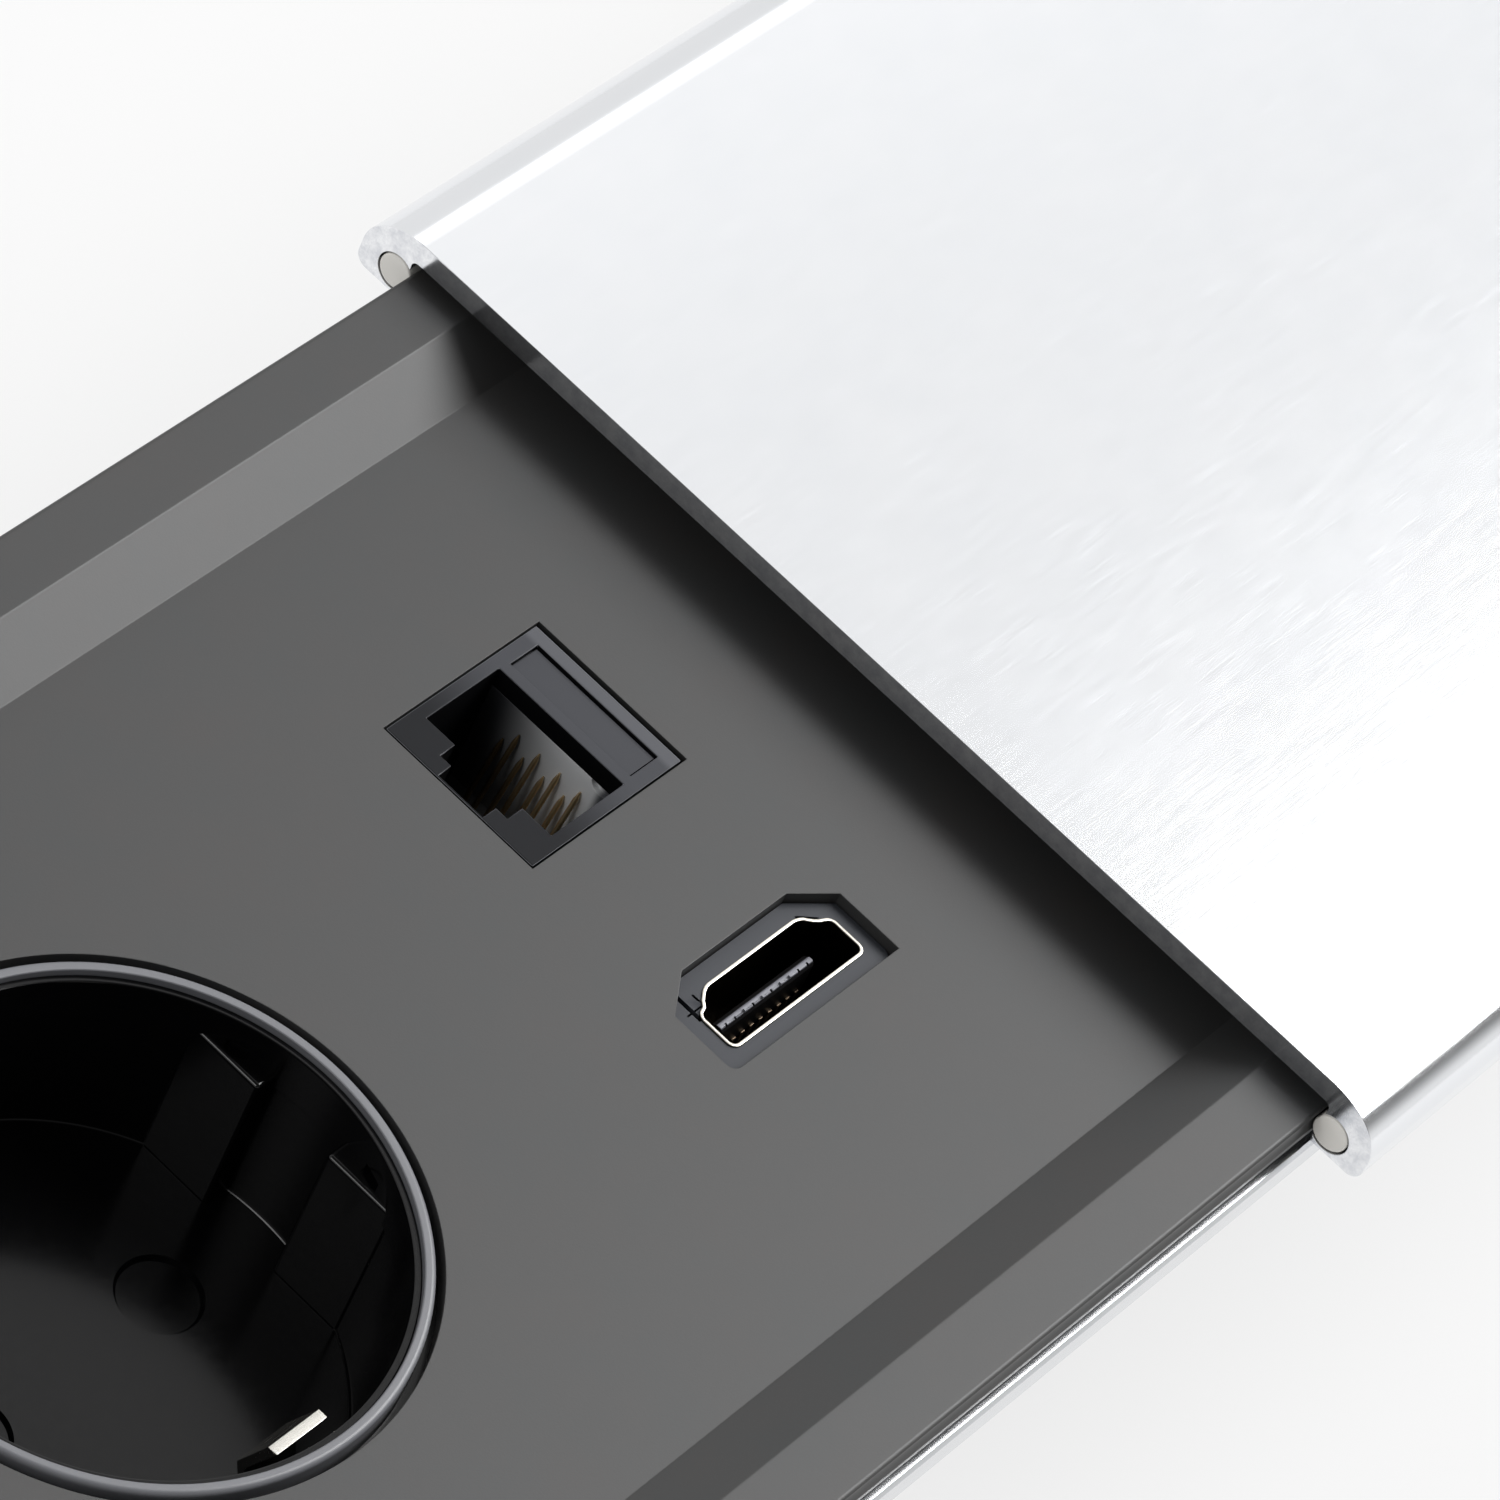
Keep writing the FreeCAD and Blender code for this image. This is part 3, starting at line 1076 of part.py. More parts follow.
def housing_shell():
    """Open box with a lip that supports the tray's underside."""
    outer = rounded_block((-HOUSING_END, HOUSING_END), (-HOUSING_HALF, HOUSING_HALF), (0, FACE_BOTTOM),
                          HOUSING_CORNER)
    lip_half = HOUSING_HALF + HOUSING_LIP_REACH
    lip = block((-HOUSING_END, HOUSING_END), (-lip_half, lip_half),
                (FACE_BOTTOM - HOUSING_LIP_THICKNESS, FACE_BOTTOM))
    inner = rounded_block((-INNER_END, INNER_END), (-INNER_HALF, INNER_HALF),
                          (HOUSING_FLOOR, FACE_BOTTOM + OVERCUT), HOUSING_CORNER - HOUSING_WALL)
    return outer.fuse(lip).cut(inner)


def housing_ribs():
    """Cross ribs: high ones carry the contact base and terminal block, low ones stiffen the bay."""
    root = HOUSING_FLOOR - ROOT_DEPTH
    supports = [SOCKET_XS[-1], (SOCKET_XS[0] + SOCKET_XS[-1]) / 2, SOCKET_XS[0],
                (TERMINAL_START + TERMINAL_END) / 2]
    ribs = [block(span(rib_x, HOUSING_RIB_THICKNESS), (-BASE_HALF, BASE_HALF), (root, BASE_BOTTOM))
            for rib_x in supports]
    bay_length = HOUSING_END - PORT_ROW_X
    bay_half = INNER_HALF + ROOT_DEPTH
    for number in range(1, BAY_RIB_COUNT + 1):
        rib_x = PORT_ROW_X + bay_length * number / (BAY_RIB_COUNT + 1)
        ribs.append(block(span(rib_x, HOUSING_RIB_THICKNESS), (-bay_half, bay_half),
                          (root, HOUSING_FLOOR + BAY_RIB_HEIGHT)))
    return ribs


def screw_passages():
    """Stepped holes from below for the screws' heads and shanks."""
    holes = []
    for x, y in boss_places():
        holes.append(post(x, y, (-OVERCUT, SCREW_SEAT), SCREW_HEAD_DIAMETER + SCREW_HEAD_CLEARANCE))
        holes.append(post(x, y, (SCREW_SEAT - OVERCUT, TRAY_BOSS_BOTTOM + OVERCUT),
                          SCREW_SHANK_DIAMETER + SCREW_HOLE_CLEARANCE))
    return holes


def bracket_fixing_holes():
    """Hole for the thread insert and the screw's way behind it, in the right end wall."""
    seat_x = (HOUSING_END - THREAD_INSERT_LENGTH, HOUSING_END + OVERCUT)
    insert_hole = hexagon_along_x(seat_x, 0, BRACKET_SCREW_Z, THREAD_INSERT_HEX + 2 * SCREW_BITE_CLEARANCE)
    screw_way = bar_along_x((HOUSING_END - BRACKET_SCREW_REACH - OVERCUT, HOUSING_END), 0, BRACKET_SCREW_Z,
                            BRACKET_SCREW_DIAMETER + SCREW_HOLE_CLEARANCE)
    return fused([insert_hole, screw_way])


def outlet_holes():
    """Holes in the right end wall for the mains gland and the data grommet."""
    wall_x = (INNER_END - OVERCUT, HOUSING_END + OVERCUT)
    return [bar_along_x(wall_x, GLAND_Y, OUTLET_Z, GLAND_THREAD_DIAMETER + 2 * WALL_HOLE_CLEARANCE),
            bar_along_x(wall_x, GROMMET_Y, OUTLET_Z, GROMMET_NECK_DIAMETER + 2 * WALL_HOLE_CLEARANCE)]


def lower_housing():
    pieces = [housing_shell()] + housing_ribs()
    root = HOUSING_FLOOR - ROOT_DEPTH
    pieces += [post(x, y, (root, TRAY_BOSS_BOTTOM), BOSS_OUTER_DIAMETER) for x, y in boss_places()]
    thread_boss = bar_along_x((INNER_END - THREAD_BOSS_LENGTH, INNER_END + ROOT_DEPTH), 0, BRACKET_SCREW_Z,
                              THREAD_BOSS_DIAMETER)
    pieces += [thread_boss, mirrored_x(thread_boss)]
    fixing = bracket_fixing_holes()
    holes = screw_passages() + [fixing, mirrored_x(fixing)] + outlet_holes()
    return fused(pieces).cut(Part.makeCompound(holes))


def housing_screws():
    """Screws from below, with round heads and a hexagon socket."""
    head_bottom = SCREW_SEAT - SCREW_HEAD_HEIGHT
    screws = []
    for x, y in boss_places():
        head = post(x, y, (head_bottom, SCREW_SEAT), SCREW_HEAD_DIAMETER)
        shank = post(x, y, (SCREW_SEAT, SCREW_TIP), SCREW_SHANK_DIAMETER)
        drive = hexagon_upright(x, y, (head_bottom - OVERCUT, head_bottom + SCREW_SOCKET_DEPTH), SCREW_SOCKET)
        screws.append(fused([head, shank]).cut(drive))
    return Part.makeCompound(screws)


# Brackets under the desk top

def bent_angle():
    """Steel angle at the right end wall, with its bend rounded inside and outside."""
    wall = HOUSING_END
    foot_end = wall + BRACKET_FOOT_LENGTH
    foot_bottom = BRACKET_FOOT_BOTTOM
    leg_face = wall + BRACKET_SHEET
    section = [(wall, foot_bottom), (foot_end, foot_bottom), (foot_end, DESK_UNDERSIDE),
               (leg_face, DESK_UNDERSIDE), (leg_face, BRACKET_TOP), (wall, BRACKET_TOP)]
    body = prism_y(section, span(0, BRACKET_WIDTH))
    bends = [(leg_face, DESK_UNDERSIDE, BRACKET_BEND_RADIUS),
             (wall, foot_bottom, BRACKET_BEND_RADIUS + BRACKET_SHEET)]
    for x, z, radius in bends:
        bend = [edge for edge in edges_along(body, ALONG_Y)
                if near(edge.CenterOfMass.x, x) and near(edge.CenterOfMass.z, z)]
        body = body.makeFillet(radius, bend)
    return body


def free_corners(body):
    """Corner edges of the foot's end and the leg's top."""
    foot_end = HOUSING_END + BRACKET_FOOT_LENGTH
    foot_corners = [edge for edge in edges_along(body, UP) if near(edge.CenterOfMass.x, foot_end)]
    leg_corners = [edge for edge in edges_along(body, ALONG_X) if near(edge.CenterOfMass.z, BRACKET_TOP)]
    return foot_corners + leg_corners


def bracket_holes():
    """Two screw holes in the foot and an upright slot in the leg."""
    wall = HOUSING_END
    hole_x = wall + BRACKET_HOLE_FROM_WALL
    foot_z = (BRACKET_FOOT_BOTTOM - OVERCUT, DESK_UNDERSIDE + OVERCUT)
    hole_ys = span(0, BRACKET_HOLE_SPACING)
    holes = [post(hole_x, y, foot_z, BRACKET_HOLE_DIAMETER) for y in hole_ys]
    leg_x = (wall - OVERCUT, wall + BRACKET_SHEET + OVERCUT)
    slot_z = span(BRACKET_SCREW_Z, BRACKET_SLOT_LENGTH - BRACKET_HOLE_DIAMETER)
    slot = [bar_along_x(leg_x, 0, z, BRACKET_HOLE_DIAMETER) for z in slot_z]
    slot.append(block(leg_x, span(0, BRACKET_HOLE_DIAMETER), slot_z))
    return Part.makeCompound(holes + [fused(slot)])


def steel_bracket():
    body = bent_angle()
    return body.makeFillet(BRACKET_CORNER, free_corners(body)).cut(bracket_holes())


def bracket_screw():
    head_start = HOUSING_END + BRACKET_SHEET + WASHER_THICKNESS
    head_end = head_start + BRACKET_SCREW_HEAD_HEIGHT
    shank_x = (HOUSING_END - BRACKET_SCREW_REACH, head_start)
    drive_x = (head_end - SCREW_SOCKET_DEPTH, head_end + OVERCUT)
    head = bar_along_x((head_start, head_end), 0, BRACKET_SCREW_Z, BRACKET_SCREW_HEAD)
    shank = bar_along_x(shank_x, 0, BRACKET_SCREW_Z, BRACKET_SCREW_DIAMETER)
    drive = hexagon_along_x(drive_x, 0, BRACKET_SCREW_Z, SCREW_SOCKET)
    return fused([head, shank]).cut(drive)


def bracket_washer():
    leg = HOUSING_END + BRACKET_SHEET
    disc = bar_along_x((leg, leg + WASHER_THICKNESS), 0, BRACKET_SCREW_Z, WASHER_DIAMETER)
    hole = bar_along_x((leg - OVERCUT, leg + OVERCUT + WASHER_THICKNESS), 0, BRACKET_SCREW_Z,
                       BRACKET_SCREW_DIAMETER + SCREW_HOLE_CLEARANCE)
    return disc.cut(hole)


def bracket_insert():
    """Hexagonal brass thread insert in the housing's end wall."""
    x_span = (HOUSING_END - THREAD_INSERT_LENGTH, HOUSING_END)
    body = hexagon_along_x(x_span, 0, BRACKET_SCREW_Z, THREAD_INSERT_HEX)
    bore = bar_along_x((x_span[0] - OVERCUT, x_span[1] + OVERCUT), 0, BRACKET_SCREW_Z,
                       BRACKET_SCREW_DIAMETER + 2 * SCREW_BITE_CLEARANCE)
    return body.cut(bore)


def at_both_ends(shape):
    return Part.makeCompound([shape, mirrored_x(shape)])


# Mains inlet and data outlet

def mains_gland():
    """Inlet body: thread through the wall, hexagon outside it and a tapered dome."""
    wall = HOUSING_END
    hex_end = wall + GLAND_HEX_LENGTH
    mouth = hex_end + GLAND_DOME_LENGTH
    dome_radius = GLAND_DOME_DIAMETER / 2
    mouth_radius = GLAND_MOUTH_DIAMETER / 2
    hexagon = hexagon_along_x((wall, hex_end), GLAND_Y, OUTLET_Z, GLAND_HEX)
    profile = [(wall - GLAND_THREAD_LENGTH, 0), (wall - GLAND_THREAD_LENGTH, GLAND_THREAD_DIAMETER / 2),
               (wall, GLAND_THREAD_DIAMETER / 2), (wall, dome_radius),
               (hex_end + GLAND_DOME_LENGTH / 2, dome_radius), (mouth, mouth_radius), (mouth, 0)]
    body = fused([hexagon, turned_along_x(profile, GLAND_Y, OUTLET_Z)])
    bore = bar_along_x((wall - GLAND_THREAD_LENGTH - OVERCUT, mouth + OVERCUT), GLAND_Y, OUTLET_Z, GLAND_BORE)
    return body.cut(bore)


def gland_nut():
    x_span = (INNER_END - GLAND_NUT_THICKNESS, INNER_END)
    body = hexagon_along_x(x_span, GLAND_Y, OUTLET_Z, GLAND_NUT_HEX)
    bore = bar_along_x((x_span[0] - OVERCUT, x_span[1] + OVERCUT), GLAND_Y, OUTLET_Z,
                       GLAND_THREAD_DIAMETER + 2 * SCREW_BITE_CLEARANCE)
    return body.cut(bore)


def data_grommet():
    """Rubber bush that grips the end wall between two flanges."""
    bore = GROMMET_BORE / 2
    neck = GROMMET_NECK_DIAMETER / 2
    flange = GROMMET_FLANGE_DIAMETER / 2
    inner_face = INNER_END - GROMMET_FLANGE
    outer_face = HOUSING_END + GROMMET_FLANGE
    profile = [(inner_face, bore), (inner_face, flange), (INNER_END, flange), (INNER_END, neck),
               (HOUSING_END, neck), (HOUSING_END, flange), (outer_face, flange), (outer_face, bore)]
    return turned_along_x(profile, GROMMET_Y, OUTLET_Z)


def build():
    """All sub-parts by node name."""
    rail = side_rail_left()
    rod = glide_rod_left()
    bracket = steel_bracket()
    parts = {
        "socket_tray": socket_tray(),
        "rail_left": rail,
        "rail_right": mirrored_y(rail),
        "end_cap_left": end_cap_left(),
        "end_cap_right": end_cap_right(),
        "slide_cover": slide_cover(),
        "glide_rod_left": rod,
        "glide_rod_right": mirrored_y(rod),
        "cover_stop": cover_stop(),
        "stop_buffer": stop_buffer(),
        "live_rail": pole_rail(RAIL_STRIP_Y, live_sleeve_xs(), 0, True),
        "neutral_rail": pole_rail(-RAIL_STRIP_Y, neutral_sleeve_xs(), 0, True),
        "earth_rail": earth_strip(0),
        "contact_base": contact_base(),
        "terminal_block": terminal_block(),
        "terminal_screws": terminal_screws(),
        "jack_body": jack_body(),
        "jack_contact_carrier": jack_contact_carrier(),
        "jack_contacts": jack_contacts(),
        "jack_rear_cap": jack_rear_cap(),
        "hdmi_surround": hdmi_surround(),
        "hdmi_shell": hdmi_shell(),
        "hdmi_tongue": hdmi_tongue(),
        "hdmi_contacts": hdmi_contacts(),
        "hdmi_body": hdmi_body(),
        "lower_housing": lower_housing(),
        "housing_screws": housing_screws(),
        "bracket_right": bracket,
        "bracket_left": mirrored_x(bracket),
        "bracket_screws": at_both_ends(bracket_screw()),
        "bracket_washers": at_both_ends(bracket_washer()),
        "bracket_inserts": at_both_ends(bracket_insert()),
        "mains_gland": mains_gland(),
        "gland_nut": gland_nut(),
        "data_grommet": data_grommet(),
    }
    for number, socket_x in enumerate(SOCKET_XS, start=1):
        parts["socket_ring_%d" % number] = socket_ring(socket_x)
        parts["socket_insert_%d" % number] = socket_insert(socket_x)
        parts["earth_clip_%d" % number] = earth_clip(socket_x)
    return parts


os.makedirs("parts", exist_ok=True)
for name, shape in build().items():
    shape.exportStep("parts/%s.step" % name)
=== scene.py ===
import json
import math

import bpy
from bpy.props import FloatProperty, FloatVectorProperty, IntProperty, PointerProperty
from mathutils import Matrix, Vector

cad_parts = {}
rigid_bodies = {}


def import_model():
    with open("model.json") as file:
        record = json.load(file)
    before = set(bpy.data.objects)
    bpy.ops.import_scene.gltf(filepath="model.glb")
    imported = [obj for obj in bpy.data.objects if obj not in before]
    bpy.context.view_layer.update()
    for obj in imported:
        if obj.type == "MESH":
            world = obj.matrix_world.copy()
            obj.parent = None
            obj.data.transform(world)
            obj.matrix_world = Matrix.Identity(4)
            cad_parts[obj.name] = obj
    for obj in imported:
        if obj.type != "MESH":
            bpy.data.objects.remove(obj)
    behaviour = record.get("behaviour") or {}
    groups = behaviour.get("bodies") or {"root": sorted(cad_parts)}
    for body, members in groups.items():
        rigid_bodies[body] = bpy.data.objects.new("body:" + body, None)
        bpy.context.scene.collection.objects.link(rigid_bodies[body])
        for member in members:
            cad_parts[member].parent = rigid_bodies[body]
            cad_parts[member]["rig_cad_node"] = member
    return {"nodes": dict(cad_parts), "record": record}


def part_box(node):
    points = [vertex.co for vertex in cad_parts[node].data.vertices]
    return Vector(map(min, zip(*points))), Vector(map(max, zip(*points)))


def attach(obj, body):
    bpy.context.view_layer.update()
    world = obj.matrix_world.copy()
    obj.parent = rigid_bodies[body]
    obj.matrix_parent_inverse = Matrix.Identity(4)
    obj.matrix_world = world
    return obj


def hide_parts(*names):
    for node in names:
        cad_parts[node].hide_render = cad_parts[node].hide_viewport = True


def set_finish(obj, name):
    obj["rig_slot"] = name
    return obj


bl_info = {
    "name": "In-desk power module",
    "version": (1, 0, 0),
    "blender": (4, 5, 0),
    "location": "3D View > Sidebar > Power module",
    "description": "Dresses the packed power module: mouldings, cover extrusion, sockets, ports and finishes",
    "category": "Object",
}

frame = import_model()
NODES = frame["nodes"]
MM = 0.001

# Below these angles neighbouring faces are shaded as one curve
ROUND_SMOOTH = math.radians(32)
MOULDED_SMOOTH = math.radians(20)

# An edge or a normal counts as lying along an axis above this cosine
ALONG = 0.9

# An edge or a face counts as being at a place within these distances, in millimetres
NEAR = 0.1
CLOSE = 0.05
SAME_PLACE = 0.01

# How far a cutter stands out of what it cuts, in millimetres
OVERCUT = 1.0


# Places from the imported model, in millimetres

def corners(name):
    """Lowest and highest corner of a CAD node."""
    return [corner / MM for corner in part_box(name)]


def centre_of(name, axis):
    """Middle of a CAD node along an axis, to a thousandth."""
    low, high = corners(name)
    return round((low[axis] + high[axis]) / 2, 3)


FACE = round(corners("jack_body")[1].z, 3)
FACE_THICKNESS = 2.0
FACE_UNDERSIDE = FACE - FACE_THICKNESS
FLANGE_TOP = round(corners("socket_tray")[1].z, 3)
TRAY_EDGE = round(corners("socket_tray")[1].y, 3)
TRAY_END = round(corners("socket_tray")[1].x, 3)
SOCKET_XS = [centre_of(f"socket_ring_{number}", 0) for number in (1, 2)]
PORT_X = centre_of("hdmi_shell", 0)
JACK_Y = centre_of("jack_body", 1)
HDMI_Y = centre_of("hdmi_body", 1)

# Outer radius of the socket rings, which the tray's holes follow
RING_RADIUS = 21.15


# Sizes and colours that a user would change

class ModuleSizes(bpy.types.PropertyGroup):
    moulded_edge: FloatProperty(name="Moulded edge", description="Radius on the edges of moulded pieces",
                                default=0.18 * MM, min=0, unit="LENGTH", subtype="DISTANCE")
    metal_edge: FloatProperty(name="Metal edge", description="Broken edge of cut and stamped metal",
                              default=0.1 * MM, min=0, unit="LENGTH", subtype="DISTANCE")
    round_steps: IntProperty(name="Round steps", description="Sides of the large turned pieces",
                             default=192, min=24, max=512)
    shoulder_width: FloatProperty(name="Cover shoulder width", default=5.0 * MM, min=0, unit="LENGTH",
                                  description="Width of the cover's curved shoulder", subtype="DISTANCE")
    shoulder_height: FloatProperty(name="Cover shoulder height", default=3.8 * MM, min=0, unit="LENGTH",
                                   description="Height of the cover's curved shoulder", subtype="DISTANCE")
    wire_diameter: FloatProperty(name="Contact wire", description="Diameter of the jack's spring wires",
                                 default=0.42 * MM, min=0, unit="LENGTH", subtype="DISTANCE")


class ModuleStage(bpy.types.PropertyGroup):
    floor_size: FloatProperty(name="Floor size", description="Side of the pale floor", default=8.0, min=1,
                              unit="LENGTH", subtype="DISTANCE")
    floor_colour: FloatVectorProperty(name="Floor colour", description="Colour of the floor", subtype="COLOR",
                                      size=3, min=0, max=1, default=(0.12, 0.12, 0.12))
    floor_glow: FloatProperty(name="Floor glow", default=0.75, min=0,
                              description="Even brightness of the floor under the soft light")
    key_power: FloatProperty(name="Key light", description="Power of the large soft light in watts",
                             default=32.0, min=0, unit="POWER")
    fill_power: FloatProperty(name="Fill panel", description="Power of the wide panel that the cover mirrors",
                              default=6.8, min=0, unit="POWER")
    rim_power: FloatProperty(name="Rim light", description="Power of the small light on the camera's side",
                             default=2.5, min=0, unit="POWER")
    horizon_strength: FloatProperty(name="Horizon strength", default=0.9, min=0,
                                    description="Strength of the studio light near the floor")
    sky_strength: FloatProperty(name="Sky strength", description="Strength of the even studio light",
                                default=0.16, min=0)


def settings():
    return bpy.context.scene.module_sizes


# Modelling steps shared by the pieces

def only(piece):
    """Make one object the sole selected and active one."""
    if bpy.context.object and bpy.context.object.mode != "OBJECT":
        bpy.ops.object.mode_set(mode="OBJECT")
    bpy.ops.object.select_all(action="DESELECT")
    piece.select_set(True)
    bpy.context.view_layer.objects.active = piece
    return piece


def settle():
    """Put the active object's place, turn and scale into its mesh."""
    bpy.ops.object.transform_apply(location=True, rotation=True, scale=True)
    return bpy.context.object


def cube(low, high):
    """Cube between two corners given in millimetres."""
    bpy.ops.object.select_all(action="DESELECT")
    low, high = Vector(low) * MM, Vector(high) * MM
    bpy.ops.mesh.primitive_cube_add(size=1, location=(low + high) / 2)
    bpy.context.object.scale = high - low
    return settle()


def cylinder(x, y, z_span, radius, sides=None, top_radius=None):
    """Upright cylinder or cone in millimetres."""
    bpy.ops.object.select_all(action="DESELECT")
    centre = Vector((x, y, sum(z_span) / 2)) * MM
    top = radius if top_radius is None else top_radius
    bpy.ops.mesh.primitive_cone_add(vertices=sides or settings().round_steps, radius1=radius * MM,
                                    radius2=top * MM, depth=(z_span[1] - z_span[0]) * MM, location=centre)
    return settle()


def rod_along_x(x_span, y, z, radius, sides=64):
    """Lying cylinder in millimetres."""
    bpy.ops.object.select_all(action="DESELECT")
    start, end = x_span
    bpy.ops.mesh.primitive_cylinder_add(vertices=sides, radius=radius * MM, depth=(end - start) * MM,
                                        location=Vector(((start + end) / 2, y, z)) * MM,
                                        rotation=(0, math.pi / 2, 0))
    return settle()


def pick(piece, kind, test):
    """Select the faces or edges that pass a test, and leave the piece in edit mode.

    The test gets the middle in millimetres and, for a face, its normal, for an edge, its direction.
    """
    only(piece)
    bpy.ops.object.mode_set(mode="EDIT")
    bpy.ops.mesh.select_mode(type=kind)
    bpy.ops.mesh.select_all(action="DESELECT")
    bpy.ops.object.mode_set(mode="OBJECT")
    mesh = piece.data
    if kind == "FACE":
        for face in mesh.polygons:
            face.select = test(face.center / MM, face.normal)
    else:
        for edge in mesh.edges:
            a, b = (mesh.vertices[index].co for index in edge.vertices)
            edge.select = test((a + b) / 2 / MM, (b - a).normalized())
    bpy.ops.object.mode_set(mode="EDIT")


def pick_all(piece):
    """Select a whole piece, and leave it in edit mode."""
    only(piece)
    bpy.ops.object.mode_set(mode="EDIT")
    bpy.ops.mesh.select_all(action="SELECT")


def leave():
    bpy.ops.object.mode_set(mode="OBJECT")


def shift(piece, step):
    """Move a whole mesh by a step in millimetres."""
    pick_all(piece)
    bpy.ops.transform.translate(value=Vector(step) * MM)
    leave()


def round_edges(piece, width, steps, test, clamp=False):
    """Round the edges that pass a test, to a width in millimetres."""
    pick(piece, "EDGE", test)
    bpy.ops.mesh.bevel(offset=width * MM, segments=steps, affect="EDGES", clamp_overlap=clamp)
    leave()


def carve(piece, cutter, operation="DIFFERENCE"):
    """Cut one piece with another, or join or intersect them."""
    only(piece)
    modifier = piece.modifiers.new("Carve", "BOOLEAN")
    modifier.operation = operation
    modifier.solver = "EXACT"
    modifier.object = cutter
    bpy.ops.object.modifier_apply(modifier=modifier.name)
    bpy.data.objects.remove(cutter)
    return piece


def soften(piece, width, steps=2, angle=ROUND_SMOOTH):
    """Round all edges that are sharper than an angle, to a width in metres."""
    only(piece)
    modifier = piece.modifiers.new("Edge", "BEVEL")
    modifier.width = width
    modifier.segments = steps
    modifier.limit_method = "ANGLE"
    modifier.angle_limit = angle
    modifier.harden_normals = False
    bpy.ops.object.modifier_apply(modifier=modifier.name)
    return piece


def twin(piece, name):
    """Copy of a piece with its own mesh."""
    copied = piece.copy()
    copied.data = piece.data.copy()
    copied.name = name
    bpy.context.scene.collection.objects.link(copied)
    return copied


def from_node(name):
    """Copy of a CAD node whose loose triangles are merged into faces."""
    merge_within, flat_within = 0.002 * MM, math.radians(0.5)
    piece = twin(NODES[name], f"{name}_copy")
    piece.parent = None
    for key in list(piece.keys()):
        del piece[key]
    only(piece)
    bpy.ops.object.mode_set(mode="EDIT")
    bpy.ops.mesh.select_mode(type="VERT")
    bpy.ops.mesh.select_all(action="SELECT")
    bpy.ops.mesh.remove_doubles(threshold=merge_within)
    bpy.ops.mesh.dissolve_limited(angle_limit=flat_within)
    leave()
    return piece


def join(pieces):
    """Join several objects into the first one."""
    only(pieces[0])
    for piece in pieces[1:]:
        piece.select_set(True)
    bpy.ops.object.join()
    return pieces[0]


def done(piece, name, body, slot, *nodes, smooth=ROUND_SMOOTH):
    """Shade a piece smooth below an angle, bind it to its body and finish, and hide the CAD nodes that it
    stands for.
    """
    only(piece)
    piece.name = name
    piece.data.name = name
    piece.data.materials.clear()
    bpy.ops.object.shade_smooth_by_angle(angle=smooth)
    modifier = piece.modifiers.new("Flat faces", "WEIGHTED_NORMAL")
    modifier.keep_sharp = True
    bpy.ops.object.modifier_apply(modifier=modifier.name)
    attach(piece, body)
    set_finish(piece, slot)
    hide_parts(*nodes)
    return piece


# Pieces, with their sizes in millimetres

class MODULE_OT_tray(bpy.types.Operator):
    """Moulded tray with smooth round socket holes and softly rounded edges"""
    bl_idname = "module.tray"
    bl_label = "Socket tray"

    # The round hole is cut just outside the flats of the CAD node's hole
    hole_gap = 0.67
    hole_span = (FACE_UNDERSIDE - 0.5, FACE + OVERCUT)
    window_length, window_width = 18.2, 8.1
    window_corner = 1.1
    groove_span = (44.85, 45.3)
    groove_depth = 0.45
    groove_edge = 0.12

    def execute(self, context):
        tray = from_node("socket_tray")
        for socket_x in SOCKET_XS:
            carve(tray, cylinder(socket_x, 0, self.hole_span, RING_RADIUS + self.hole_gap))
        # The corner of the video port's window that the photo shows sharp
        corner_x, corner_y = PORT_X + self.window_length / 2, HDMI_Y - self.window_width / 2
        carve(tray, cube((corner_x - self.window_corner, corner_y, FACE_UNDERSIDE - 2 * OVERCUT),
                         (corner_x, corner_y + self.window_corner, FACE + OVERCUT)))
        soften(tray, settings().moulded_edge, 2, MOULDED_SMOOTH)
        groove_low, groove_high = self.groove_span
        end = TRAY_END + OVERCUT
        for side in (-1, 1):
            ys = sorted((side * (TRAY_EDGE - self.groove_depth), side * (TRAY_EDGE + OVERCUT)))
            carve(tray, cube((-end, ys[0], groove_low), (end, ys[1], groove_high)))
        round_edges(tray, self.groove_edge, 2,
                    lambda middle, along: abs(along.x) > ALONG and abs(middle.z - groove_low) < SAME_PLACE
                    and abs(middle.y) > TRAY_EDGE - SAME_PLACE)
        done(tray, "tray_moulding", "module", "tray_plastic", "socket_tray", smooth=MOULDED_SMOOTH)
        return {"FINISHED"}


